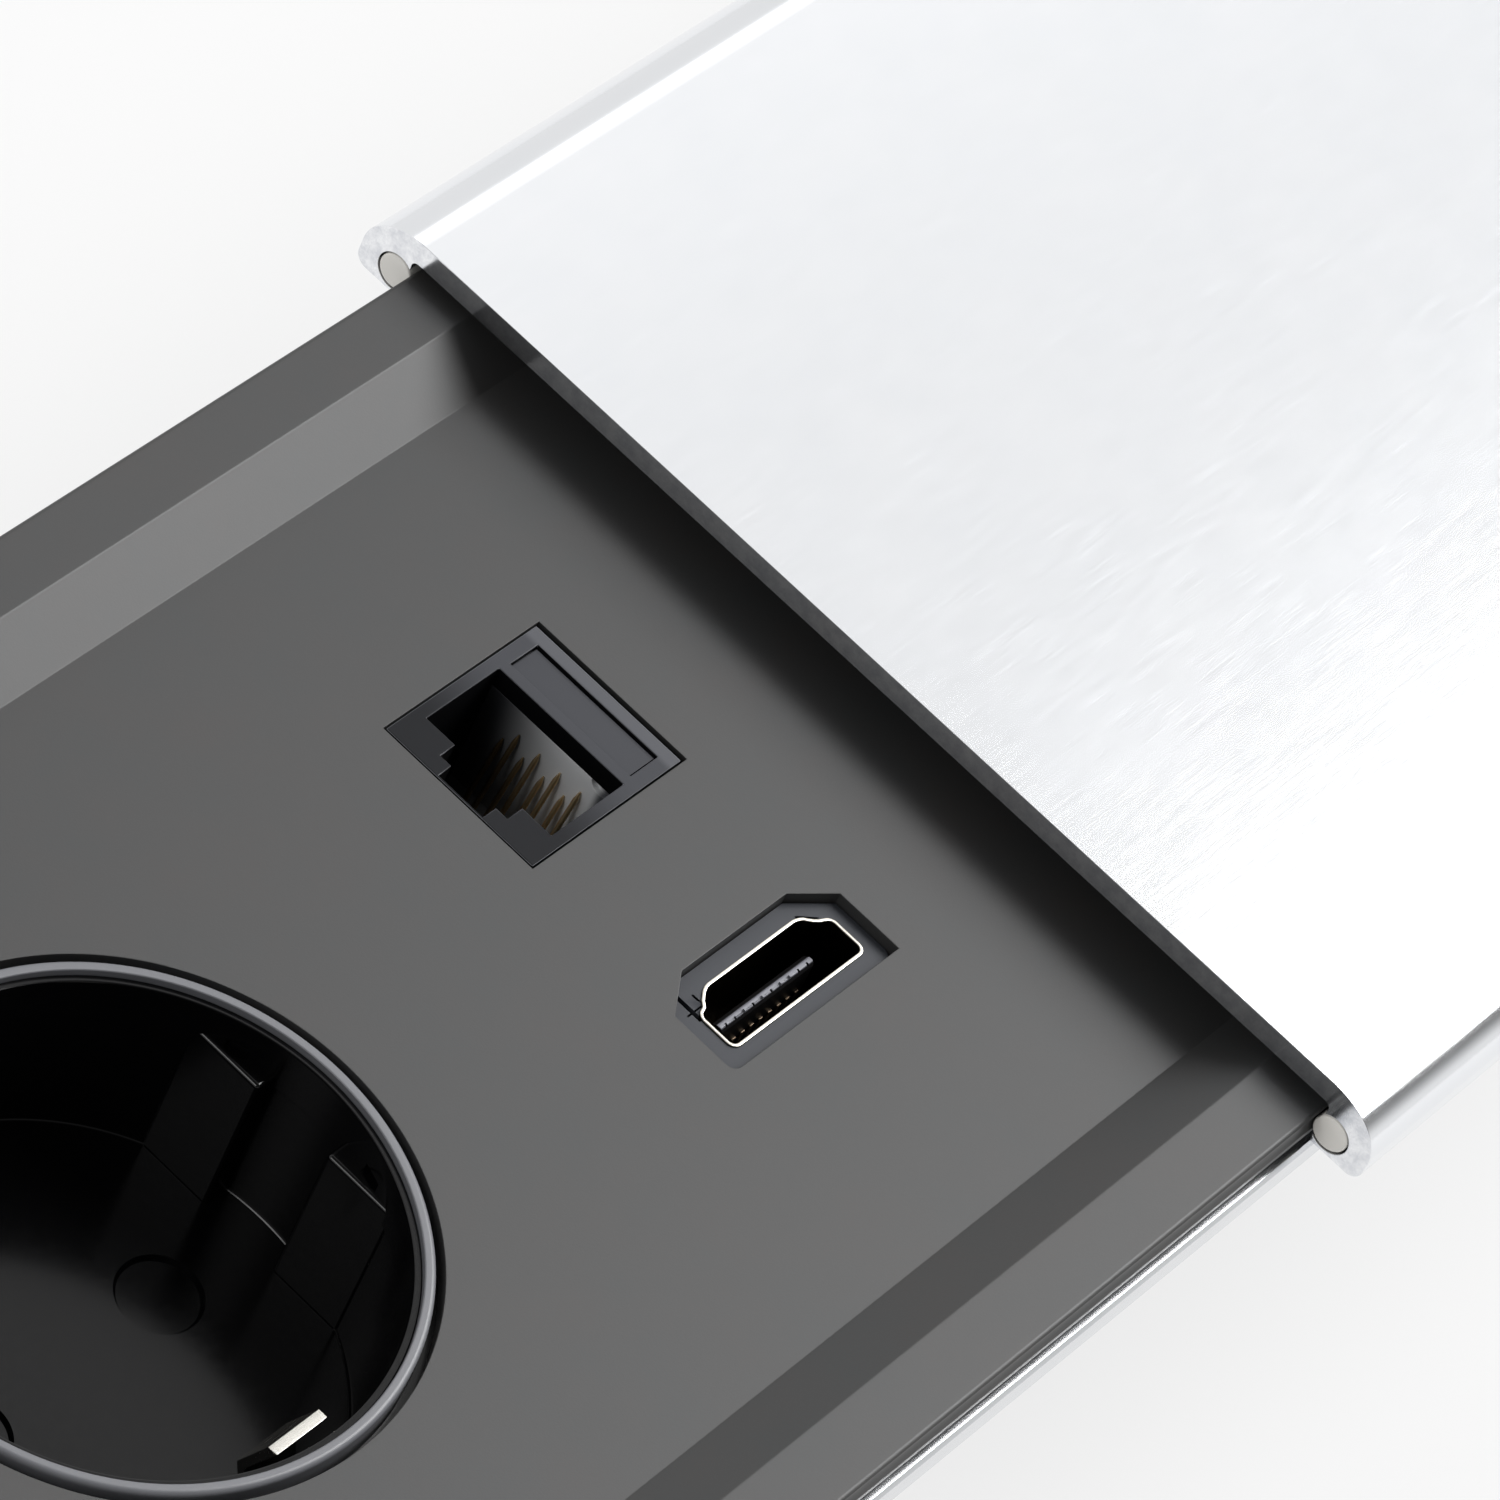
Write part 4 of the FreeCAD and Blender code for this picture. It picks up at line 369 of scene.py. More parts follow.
class MODULE_OT_cover(bpy.types.Operator):
    """Extruded cover with curved shoulders, rod grooves and a sawn end"""
    bl_idname = "module.cover"
    bl_label = "Sliding cover"

    guide_gap = 0.3
    over_flange = 1.0
    inner_round = 0.5
    groove_radius = 1.64
    foot_round = 1.1
    saw_edge_angle = math.radians(40)

    def shoulders(self, cover, top_z):
        """Round the upper long edges to quarter ellipses: a round bevel on a stretched bar."""
        sizes = settings()
        stretch = sizes.shoulder_width / sizes.shoulder_height
        top = Vector((0, 0, top_z)) * MM
        pick_all(cover)
        bpy.ops.transform.resize(value=(1, 1, stretch), center_override=top)
        leave()
        round_edges(cover, sizes.shoulder_width / MM, 20,
                    lambda middle, along: abs(along.x) > ALONG and middle.z > top_z - NEAR)
        pick_all(cover)
        bpy.ops.transform.resize(value=(1, 1, 1 / stretch), center_override=top)
        leave()

    def execute(self, context):
        low, high = corners("slide_cover")
        cover = cube(low, high)
        self.shoulders(cover, high.z)
        channel_half, channel_top = TRAY_EDGE + self.guide_gap, FLANGE_TOP + self.over_flange
        start, end = low.x - OVERCUT, high.x + OVERCUT
        channel = cube((start, -channel_half, low.z - OVERCUT), (end, channel_half, channel_top))
        round_edges(channel, self.inner_round, 6,
                    lambda middle, along: abs(along.x) > ALONG and middle.z > channel_top - self.inner_round)
        carve(cover, channel)
        rod_y, rod_z = centre_of("glide_rod_left", 1), centre_of("glide_rod_left", 2)
        for side in (-1, 1):
            carve(cover, rod_along_x((start, end), side * rod_y, rod_z, self.groove_radius, 72))
        round_edges(cover, self.foot_round, 8,
                    lambda middle, along: abs(along.x) > ALONG and middle.z < low.z + NEAR
                    and abs(middle.y) > channel_half + self.guide_gap)
        soften(cover, settings().metal_edge, 2, self.saw_edge_angle)
        done(cover, "cover_extrusion", "cover", "cover_aluminium", "slide_cover")
        return {"FINISHED"}


class MODULE_OT_rods(bpy.types.Operator):
    """Glide rods with slightly rounded ends"""
    bl_idname = "module.rods"
    bl_label = "Glide rods"

    end_round = 0.15

    def execute(self, context):
        low, high = corners("glide_rod_left")
        rod = rod_along_x((low.x, high.x), (low.y + high.y) / 2, (low.z + high.z) / 2, (high.z - low.z) / 2)
        soften(rod, self.end_round * MM, 3)
        other = twin(rod, "glide_rod_right_piece")
        shift(other, (0, -(low.y + high.y), 0))
        done(rod, "glide_rod_left_piece", "cover", "glide_plastic", "glide_rod_left")
        done(other, "glide_rod_right_piece", "cover", "glide_plastic", "glide_rod_right")
        return {"FINISHED"}


class MODULE_OT_sockets(bpy.types.Operator):
    """Socket rings and moulded wells with shoulders, pin holes and earth slots"""
    bl_idname = "module.sockets"
    bl_label = "Mains sockets"

    ring_inner = 20.3
    ring_span = (40.0, 43.3)
    ring_outer_round = 0.4
    ring_inner_round = 0.15

    plate_half_length = 22.5
    plate_half_width = 27.0
    plate_bottom = 38.5
    plate_corner = 3.0
    well_radii = (20.0, 21.2)
    floor_span = (23.5, 26.0)
    floor_round = 0.2
    ring_seat_radius = 21.25

    lip_radii = (19.72, 20.28)
    lip_span = (38.6, 42.75)
    lip_edge = 0.1

    shoulder_xs = (17.5, 21.0)
    shoulder_ys = (3.3, 9.7)
    shoulder_span = (25.8, 40.0)
    shoulder_edge = 0.35

    # A thin shutter stays between each pin hole and its flared mouth
    pin_offset = 9.5
    pin_radius = 3.0
    pin_hole_top = 25.4
    mouth_radius = 3.3
    mouth_span = (25.6, 26.05)
    earth_slot_ys = (17.0, 19.4)
    earth_slot_half = 3.3
    sink_mark_place = (18.7, 6.5)
    sink_mark_radius = 0.9
    sink_mark_span = (39.9, 40.5)

    def ring(self, x):
        bottom, top = self.ring_span
        ring = cylinder(x, 0, self.ring_span, RING_RADIUS)
        carve(ring, cylinder(x, 0, (bottom - OVERCUT, top + OVERCUT), self.ring_inner))

        def distance(middle):
            return Vector((middle.x - x, middle.y)).length

        round_edges(ring, self.ring_outer_round, 6,
                    lambda middle, along: middle.z > top - NEAR and distance(middle) > RING_RADIUS - NEAR)
        round_edges(ring, self.ring_inner_round, 3,
                    lambda middle, along: middle.z > top - NEAR and distance(middle) < self.ring_inner + NEAR)
        return ring

    def shoulders(self, x):
        """Four guide blocks at the ends of the well's long axis, cut to the well's round."""
        pieces = []
        bottom, top = self.shoulder_span
        for side_x in (-1, 1):
            for side_y in (-1, 1):
                xs = sorted(x + side_x * place for place in self.shoulder_xs)
                ys = sorted(side_y * place for place in self.shoulder_ys)
                pieces.append(cube((xs[0], ys[0], bottom), (xs[1], ys[1], top)))
                soften(pieces[-1], self.shoulder_edge * MM, 5)
        block = join(pieces)
        return carve(block, cylinder(x, 0, (bottom - OVERCUT, top + OVERCUT), self.ring_inner), "INTERSECT")

    def lip(self, x):
        """Thin collar inside the ring."""
        inner, outer = self.lip_radii
        bottom, top = self.lip_span
        lip = cylinder(x, 0, (bottom, top), outer)
        carve(lip, cylinder(x, 0, (bottom - OVERCUT, top + OVERCUT), inner))
        return soften(lip, self.lip_edge * MM, 2)

    def well(self, x):
        floor_bottom, floor_top = self.floor_span
        ring_bottom = self.ring_span[0]
        body = cube((x - self.plate_half_length, -self.plate_half_width, self.plate_bottom),
                    (x + self.plate_half_length, self.plate_half_width, FACE_UNDERSIDE))
        round_edges(body, self.plate_corner, 8, lambda middle, along: abs(along.z) > ALONG)
        inner, outer = self.well_radii
        carve(body, cylinder(x, 0, (floor_bottom, ring_bottom), outer), "UNION")
        bore = cylinder(x, 0, (floor_top, FACE_UNDERSIDE + OVERCUT), inner)
        round_edges(bore, self.floor_round, 3, lambda middle, along: middle.z < floor_top + NEAR)
        carve(body, bore)
        carve(body, cylinder(x, 0, (ring_bottom, FACE_UNDERSIDE + OVERCUT), self.ring_seat_radius))
        carve(body, self.lip(x), "UNION")
        carve(body, self.shoulders(x), "UNION")
        for side in (-1, 1):
            self.openings(body, x, side)
        return body

    def openings(self, body, x, side):
        """Pin hole with its shutter and flared mouth, earth slot, and two sink marks, on one side."""
        bottom, top = self.floor_span[0] - OVERCUT, self.floor_span[1] + OVERCUT
        pin_x = x + side * self.pin_offset
        carve(body, cylinder(pin_x, 0, (bottom, self.pin_hole_top), self.pin_radius, 64))
        carve(body, cylinder(pin_x, 0, self.mouth_span, self.pin_radius, 64, self.mouth_radius))
        ys = sorted(side * place for place in self.earth_slot_ys)
        carve(body, cube((x - self.earth_slot_half, ys[0], bottom), (x + self.earth_slot_half, ys[1], top)))
        mark_x, mark_y = self.sink_mark_place
        for side_y in (-1, 1):
            carve(body, cylinder(x + side * mark_x, side_y * mark_y, self.sink_mark_span,
                                 self.sink_mark_radius, 32))

    def execute(self, context):
        model_x = SOCKET_XS[-1]
        ring = self.ring(model_x)
        well = self.well(model_x)
        for number, socket_x in enumerate(SOCKET_XS, start=1):
            for model, label, slot, node_label in ((ring, "socket_ring", "ring_plastic", "socket_ring"),
                                                   (well, "socket_well", "socket_black", "socket_insert")):
                piece = twin(model, f"{label}_piece_{number}")
                shift(piece, (socket_x - model_x, 0, 0))
                done(piece, piece.name, "module", slot, f"{node_label}_{number}", smooth=MOULDED_SMOOTH)
        bpy.data.objects.remove(ring)
        bpy.data.objects.remove(well)
        return {"FINISHED"}


class MODULE_OT_network_port(bpy.types.Operator):
    """Network jack with its recessed label plate and eight gilt wires"""
    bl_idname = "module.network_port"
    bl_label = "Network jack"

    wire_count = 8
    wire_pitch = 1.02
    wire_foot_z = 30.5
    wire_tips_z = (38.7, 37.1)
    wire_tip_x = 37.675
    wire_slant = 0.246
    wire_point_length = 0.75
    wire_point_inset = 0.15

    # The front part reaches this much further on two sides than its CAD node, so the gap there is thin
    front_from_z = 36.0
    front_growth = 0.09
    edge = 0.14
    label_low = (38.9, 5.15)
    label_high = (41.9, 17.15)
    label_line = 0.15
    label_span = (42.45, 43.2)

    notch_xs = (37.5, 38.4)
    notch_y, notch_z, notch_radius = 6.3, 41.2, 1.0
    carrier_edge = 0.1

    def wire(self, number):
        """One slanted wire with its pointed tip; alternate ones are shorter."""
        y = JACK_Y + (number - (self.wire_count - 1) / 2) * self.wire_pitch
        tip_z = self.wire_tips_z[number % 2]
        foot_x = self.wire_tip_x - self.wire_slant * (tip_z - self.wire_foot_z)
        radius = settings().wire_diameter / 2 / MM
        wire = cylinder(foot_x, y, (self.wire_foot_z, tip_z), radius, 14)
        pick(wire, "FACE", lambda middle, normal: normal.z > ALONG)
        bpy.ops.mesh.inset(thickness=self.wire_point_inset * MM)
        bpy.ops.transform.translate(value=(0, 0, self.wire_point_length * MM))
        leave()
        foot = Vector((foot_x, y, self.wire_foot_z)) * MM
        pick_all(wire)
        bpy.ops.transform.rotate(value=-math.atan(self.wire_slant), orient_axis="Y", center_override=foot)
        leave()
        return wire

    def label_lines(self):
        """Four thin bars round the label plate, as cutters."""
        low_x, low_y = self.label_low
        high_x, high_y = self.label_high
        line = self.label_line
        spans = (((low_x, low_y), (low_x + line, high_y)), ((high_x - line, low_y), (high_x, high_y)),
                 ((low_x, low_y), (high_x, low_y + line)), ((low_x, high_y - line), (high_x, high_y)))
        bottom, top = self.label_span
        return [cube((*low, bottom), (*high, top)) for low, high in spans]

    def body(self):
        body = from_node("jack_body")
        low = corners("jack_body")[0]
        for axis in (0, 1):
            pick(body, "FACE", lambda middle, normal: normal[axis] < -ALONG
                 and middle[axis] < low[axis] + NEAR and middle.z > self.front_from_z)
            step = [0, 0, 0]
            step[axis] = -self.front_growth * MM
            bpy.ops.transform.translate(value=step)
            leave()
        # The edges are rounded first, because the thin lines would leave the bevel no room
        soften(body, self.edge * MM, 2)
        for line in self.label_lines():
            carve(body, line)
        return body

    def execute(self, context):
        done(self.body(), "jack_body_piece", "module", "jack_plastic", "jack_body", smooth=MOULDED_SMOOTH)
        carrier = from_node("jack_contact_carrier")
        carve(carrier, rod_along_x(self.notch_xs, self.notch_y, self.notch_z, self.notch_radius, 40))
        soften(carrier, self.carrier_edge * MM, 2)
        done(carrier, "jack_carrier_piece", "module", "carrier_plastic", "jack_contact_carrier",
             smooth=MOULDED_SMOOTH)
        wires = join([self.wire(number) for number in range(self.wire_count)])
        done(wires, "jack_wires", "module", "gilt_contacts", "jack_contacts")
        return {"FINISHED"}


class MODULE_OT_video_port(bpy.types.Operator):
    """HDMI port: filler plate, nickel shell, notched tongue and contact strips"""
    bl_idname = "module.video_port"
    bl_label = "Video port"

    # Outer form of the sheet shell: its box, and the size of the two cut corners
    shell_low = Vector((28.0, -15.2, 0))
    shell_high = Vector((42.72, -10.15, 0))
    corner_length = 2.25
    corner_width = 1.65
    # Along each cut corner, from the top: share of its length, and depth of the dent there
    dents = {1: ((0.2, 0), (0.45, 0.13), (0.6, 0.13), (0.82, 0)), -1: ((0.45, 0), (0.65, 0.14), (0.82, 0))}
    outer_round, side_round, cut_round = 0.75, 0.4, 0.5
    shell_bottom = 32.0
    shell_sheet = 0.23
    shell_depth = 9.5
    slit_xs = (30.9, 31.7)
    slit_width = 0.22
    slit_span = (34.5, 41.2)
    slit_from_outside = (0.15, 0.6)
    shell_edge = 0.06
    shell_edge_angle = math.radians(60)

    # Blocks in plan, and their heights, that fill the CAD node's passage before the new one is cut
    fillers = (((26.6, shell_low.y - 0.3), (shell_high.x + 0.2, shell_high.y - 1.0)),
               ((shell_low.x + 1.0, shell_low.y - 0.3), (40.5, shell_high.y + 0.2)),
               ((27.4, -11.3), (29.2, shell_high.y)))
    filled_span = (39.0, 42.0)
    passage_span = (30.0, FACE)
    passage_gap = 0.03
    seam_low = (shell_low.x - 0.2, shell_high.y - 1.9, 41.2)
    seam_high = (shell_low.x + 0.18, -9.0, 42.5)
    surround_edge = 0.12

    tongue_shift = 0.25
    tongue_taper = 0.35
    tongue_front = 0.3
    tongue_tip_share = 0.3
    tongue_edge = 0.05
    notch_count = 10
    notch_half = 0.09
    notch_depth = 0.13
    notch_height = 0.5

    strip_counts = {-1: 10, 1: 9}
    strip_pitch = 1.0
    strip_width = 0.45
    strip_thickness = 0.15
    strip_below_tip = 2.4
    strip_edge = 0.05
    tongue_y = HDMI_Y + 0.1
    tongue_half = 0.5

    def cut_corner(self, side):
        """Start, direction and inward normal of a cut corner, from the shell's top edge."""
        end = self.shell_high.x if side > 0 else self.shell_low.x
        start = Vector((end - side * self.corner_length, self.shell_high.y, 0))
        along = Vector((end, self.shell_high.y - self.corner_width, 0)) - start
        inward = Vector((-side * self.corner_width, -self.corner_length, 0)).normalized()
        return start, along, inward

    def cut_corners_off(self, solid):
        """Cut two corners off: an even bevel on a solid that is stretched across, and then put back."""
        high = self.shell_high
        stretch = self.corner_length / self.corner_width
        base = Vector((0, high.y, 0)) * MM
        pick_all(solid)
        bpy.ops.transform.resize(value=(1, stretch, 1), center_override=base)
        leave()
        round_edges(solid, self.corner_length, 1,
                    lambda middle, along: abs(along.z) > ALONG and middle.y > high.y - NEAR)
        pick_all(solid)
        bpy.ops.transform.resize(value=(1, 1 / stretch, 1), center_override=base)
        leave()

    def dent_corner(self, solid, side):
        """Divide a cut corner at its dent's ends and push the dent in."""
        start, along, inward = self.cut_corner(side)
        spots = [(start + along * share, depth) for share, depth in self.dents[side]]
        for place, depth in spots:
            pick_all(solid)
            bpy.ops.mesh.bisect(plane_co=place * MM, plane_no=along.normalized())
            leave()
        for place, depth in spots:
            pick(solid, "EDGE", lambda middle, way: abs(way.z) > ALONG
                 and (Vector((middle.x, middle.y, 0)) - place).length < CLOSE)
            bpy.ops.transform.translate(value=inward * depth * MM)
            leave()

    def outline(self, z_span):
        """Solid with the shell's outer form: two cut corners, one dented and one stepped."""
        low, high = self.shell_low, self.shell_high
        solid = cube((low.x, low.y, z_span[0]), (high.x, high.y, z_span[1]))
        self.cut_corners_off(solid)
        for side in self.dents:
            self.dent_corner(solid, side)
        pick(solid, "FACE", lambda middle, normal: True)
        bpy.ops.mesh.dissolve_limited(angle_limit=math.radians(1))
        leave()
        for side, end in ((-1, low.x), (1, high.x)):
            rounds = ((Vector((end, low.y)), self.outer_round),
                      (Vector((end, high.y - self.corner_width)), self.side_round),
                      (Vector((end - side * self.corner_length, high.y)), self.cut_round))
            for corner, radius in rounds:
                round_edges(solid, radius, 5,
                            lambda middle, along: abs(along.z) > ALONG
                            and (Vector((middle.x, middle.y)) - corner).length < CLOSE, clamp=True)
        return solid

    def shell(self):
        """Folded sheet with an open mouth and two slits in one wall."""
        shell = self.outline((self.shell_bottom, corners("hdmi_shell")[1].z))
        pick(shell, "FACE", lambda middle, normal: normal.z > ALONG)
        bpy.ops.mesh.inset(thickness=self.shell_sheet * MM)
        bpy.ops.mesh.extrude_region_move(TRANSFORM_OT_translate={"value": (0, 0, -self.shell_depth * MM)})
        leave()
        high_y, low_y = (self.shell_high.y - depth for depth in self.slit_from_outside)
        bottom, top = self.slit_span
        for x in self.slit_xs:
            carve(shell, cube((x, low_y, bottom), (x + self.slit_width, high_y, top)))
        return soften(shell, self.shell_edge * MM, 2, self.shell_edge_angle)

    def surround(self):
        """Filler plate, with its passage fitted to the shell and a seam beside it."""
        surround = from_node("hdmi_surround")
        bottom, top = self.filled_span
        for low, high in self.fillers:
            carve(surround, cube((*low, bottom), (*high, top)), "UNION")
        opening = self.outline(self.passage_span)
        pick_all(opening)
        bpy.ops.transform.shrink_fatten(value=self.passage_gap * MM)
        leave()
        carve(surround, opening)
        carve(surround, cube(self.seam_low, self.seam_high))
        return soften(surround, self.surround_edge * MM, 2)

    def tongue(self):
        """Tongue that narrows to a notched tip."""
        low, high = corners("hdmi_tongue")
        middle_y = (low.y + high.y) / 2 + 0.05
        front_y = middle_y - self.tongue_front
        tip = self.tongue_tip_share
        tongue = cube((low.x + self.tongue_shift, low.y, low.z),
                      (high.x + self.tongue_shift, high.y, high.z - self.tongue_taper))
        pick(tongue, "FACE", lambda middle, normal: normal.z > ALONG)
        bpy.ops.mesh.extrude_region_move(TRANSFORM_OT_translate={"value": (0, 0, self.tongue_taper * MM)})
        bpy.ops.transform.resize(value=(1, tip, 1), center_override=(0, middle_y * MM, 0))
        bpy.ops.transform.translate(value=(0, (front_y + (high.y - low.y) * tip / 2 - middle_y) * MM, 0))
        leave()
        soften(tongue, self.tongue_edge * MM, 2)
        for number in range(self.notch_count):
            x = PORT_X + self.tongue_shift + (number - (self.notch_count - 1) / 2) * self.strip_pitch
            carve(tongue, cube((x - self.notch_half, front_y - 0.1, high.z - self.notch_height),
                               (x + self.notch_half, front_y + self.notch_depth, high.z + 0.2)))
        return tongue

    def strips(self):
        """Contact strips on both sides of the tongue."""
        pieces = []
        low, high = corners("hdmi_contacts")
        for side, count in self.strip_counts.items():
            face_y = self.tongue_y + side * self.tongue_half
            ys = sorted((face_y, face_y + side * self.strip_thickness))
            for number in range(count):
                x = PORT_X + (number - (count - 1) / 2) * self.strip_pitch
                strip = cube((x - self.strip_width / 2, ys[0], low.z),
                             (x + self.strip_width / 2, ys[1], high.z - self.strip_below_tip))
                soften(strip, self.strip_edge * MM, 2)
                pieces.append(strip)
        return join(pieces)

    def execute(self, context):
        done(self.surround(), "video_surround", "module", "surround_plastic", "hdmi_surround",
             smooth=MOULDED_SMOOTH)
        done(self.shell(), "video_shell", "module", "shell_metal", "hdmi_shell")
        done(self.tongue(), "video_tongue", "module", "tongue_plastic", "hdmi_tongue",
             smooth=MOULDED_SMOOTH)
        done(self.strips(), "video_contacts", "module", "gilt_contacts", "hdmi_contacts")
        return {"FINISHED"}


class MODULE_OT_trim(bpy.types.Operator):
    """Rails, end caps, housing, brackets, outlets and fasteners with their edges broken"""
    bl_idname = "module.trim"
    bl_label = "Housing and trim"

    clip_edge = 0.05

    def execute(self, context):
        moulded, metal = settings().moulded_edge, settings().metal_edge
        plan = (
            ("rail_aluminium", metal, ("rail_left", "rail_right")),
            ("tray_plastic", moulded, ("end_cap_left", "end_cap_right")),
            ("housing_plastic", moulded, ("lower_housing",)),
            ("zinc_steel", metal, ("bracket_left", "bracket_right", "bracket_washers", "bracket_screws",
                                   "housing_screws")),
            ("gland_plastic", moulded, ("mains_gland",)),
            ("spring_steel", self.clip_edge * MM, ("earth_clip_1", "earth_clip_2")),
        )
        for slot, width, names in plan:
            for name in names:
                done(soften(from_node(name), width), f"{name}_piece", "module", slot, name)
        return {"FINISHED"}


# Finishes

# Width of the soft clouds of colour on pieces, of the marks of a saw cut, and of the floor's clouds
CLOUD_MM = 8.0
SAW_MARK_MM = 1.1
FLOOR_CLOUD_MM = 40.0

# How much the grain and the lines change the roughness, up and down
GRAIN_IN_GLOSS = 0.04
LINES_IN_GLOSS = 0.06


def linear(code):
    """sRGB hex code as a linear colour."""
    values = [int(code[index:index + 2], 16) / 255 for index in (1, 3, 5)]
    return tuple([v / 12.92 if v <= 0.04045 else ((v + 0.055) / 1.055) ** 2.4 for v in values] + [1.0])


def node(tree, kind, values=None, links=None):
    """Add a node to a material, with its values and the sockets that feed it."""
    added = tree.nodes.new(kind)
    for name, value in (values or {}).items():
        if isinstance(name, str) and hasattr(added, name):
            setattr(added, name, value)
        else:
            added.inputs[name].default_value = value
    for name, source in (links or {}).items():
        tree.links.new(source, added.inputs[name])
    return added


def new_material(name):
    """Empty material, its node tree and the object's own coordinates."""
    material = bpy.data.materials.new(name)
    material.use_nodes = True
    tree = material.node_tree
    tree.nodes.clear()
    place = node(tree, "ShaderNodeTexCoord").outputs["Object"]
    return material, tree, place


def close(tree, shader):
    node(tree, "ShaderNodeOutputMaterial", links={"Surface": shader.outputs["BSDF"]})


def noise(tree, place, size_mm, detail, roughness=0.5):
    """Noise pattern with spots of about a size in millimetres."""
    pattern = node(tree, "ShaderNodeTexNoise",
                   {"Scale": 1 / (size_mm * MM), "Detail": detail, "Roughness": roughness}, {"Vector": place})
    return pattern.outputs["Fac"]


def mottled(tree, share, codes):
    """Two colours that change with a share."""
    first, second = (linear(code) for code in codes)
    return node(tree, "ShaderNodeMix", {"data_type": "RGBA", 6: first, 7: second}, {0: share}).outputs[2]


def covered(tree, share, colour, code):
    """A colour with another over it, as much as a share says."""
    mix = node(tree, "ShaderNodeMix", {"data_type": "RGBA", 7: linear(code)}, {0: share, 6: colour})
    return mix.outputs[2]


def faded(tree, place, colour, axis, start_mm, end_mm, code):
    """Turn a colour into another between two places along an axis."""
    parts = node(tree, "ShaderNodeSeparateXYZ", links={"Vector": place})
    share = node(tree, "ShaderNodeMapRange", {"interpolation_type": "SMOOTHSTEP", "From Min": start_mm * MM,
                                              "From Max": end_mm * MM}, {"Value": parts.outputs[axis]})
    return covered(tree, share.outputs["Result"], colour, code)


def facing(tree, axis, start, end):
    """Share of a face that looks along an axis, from none at one slope to all at another."""
    normal = node(tree, "ShaderNodeTexCoord").outputs["Normal"]
    along = node(tree, "ShaderNodeSeparateXYZ", links={"Vector": normal}).outputs[axis]
    size = node(tree, "ShaderNodeMath", {"operation": "ABSOLUTE"}, {0: along})
    share = node(tree, "ShaderNodeMapRange", {"From Min": start, "From Max": end}, {"Value": size.outputs[0]})
    return share.outputs["Result"]


def turned(tree, colour, axis, start, end, code):
    """Turn a colour into another on the faces that look along an axis."""
    return covered(tree, facing(tree, axis, start, end), colour, code)


def surface(tree, colour, pattern, roughness, change, depth_mm, values):
    """Surface whose roughness and fine relief follow a pattern."""
    gloss = node(tree, "ShaderNodeMapRange", {"To Min": roughness - change, "To Max": roughness + change},
                 {"Value": pattern})
    bump = node(tree, "ShaderNodeBump", {"Strength": 1.0, "Distance": depth_mm * MM}, {"Height": pattern})
    close(tree, node(tree, "ShaderNodeBsdfPrincipled", values,
                     {"Base Color": colour, "Roughness": gloss.outputs["Result"],
                      "Normal": bump.outputs["Normal"]}))


def moulding(name, colours, roughness, grain_mm, depth_mm, shine=0.5, painted_light_fades=(), painted_light_slopes=()):
    """Moulded plastic: two close colours in soft clouds with any painted light and shade laid over them, and
    the tool's fine spark-eroded grain.
    """
    material, tree, place = new_material(name)
    colour = mottled(tree, noise(tree, place, CLOUD_MM, 6.0, 0.65), colours)
    for fade in painted_light_fades:
        colour = faded(tree, place, colour, *fade)
    for slope in painted_light_slopes:
        colour = turned(tree, colour, *slope)
    grain = noise(tree, place, grain_mm, 2.0)
    surface(tree, colour, grain, roughness, GRAIN_IN_GLOSS, depth_mm,
            {"IOR": 1.5, "Specular IOR Level": shine})
    return material


def sawn(tree, place, colour, codes):
    """Change the colour on the faces across the strip to a mottled saw cut."""
    marks = noise(tree, place, SAW_MARK_MM, 5.0, 0.7)
    spread = node(tree, "ShaderNodeMapRange", {"From Min": 0.35, "From Max": 0.65}, {"Value": marks})
    cut = mottled(tree, spread.outputs["Result"], codes)
    share = facing(tree, "X", 0.8, 0.95)
    return node(tree, "ShaderNodeMix", {"data_type": "RGBA"}, {0: share, 6: colour, 7: cut}).outputs[2]


def drawn_metal(name, colours, roughness, line_mm, depth_mm, stretch=40.0, painted_light_fades=(), saw_cut=None):
    """Metal with fine lines along the strip, left by drawing, brushing or rolling, and any painted light and
    shade laid over its colour.
    """
    material, tree, place = new_material(name)
    stretched = node(tree, "ShaderNodeMapping", {"Scale": (1 / stretch, 1, 1)}, {"Vector": place})
    colour = mottled(tree, noise(tree, place, CLOUD_MM, 2.0), colours)
    for fade in painted_light_fades:
        colour = faded(tree, place, colour, *fade)
    if saw_cut:
        colour = sawn(tree, place, colour, saw_cut)
    lines = noise(tree, stretched.outputs["Vector"], line_mm, 3.0)
    surface(tree, colour, lines, roughness, LINES_IN_GLOSS, depth_mm, {"Metallic": 1.0})
    return material


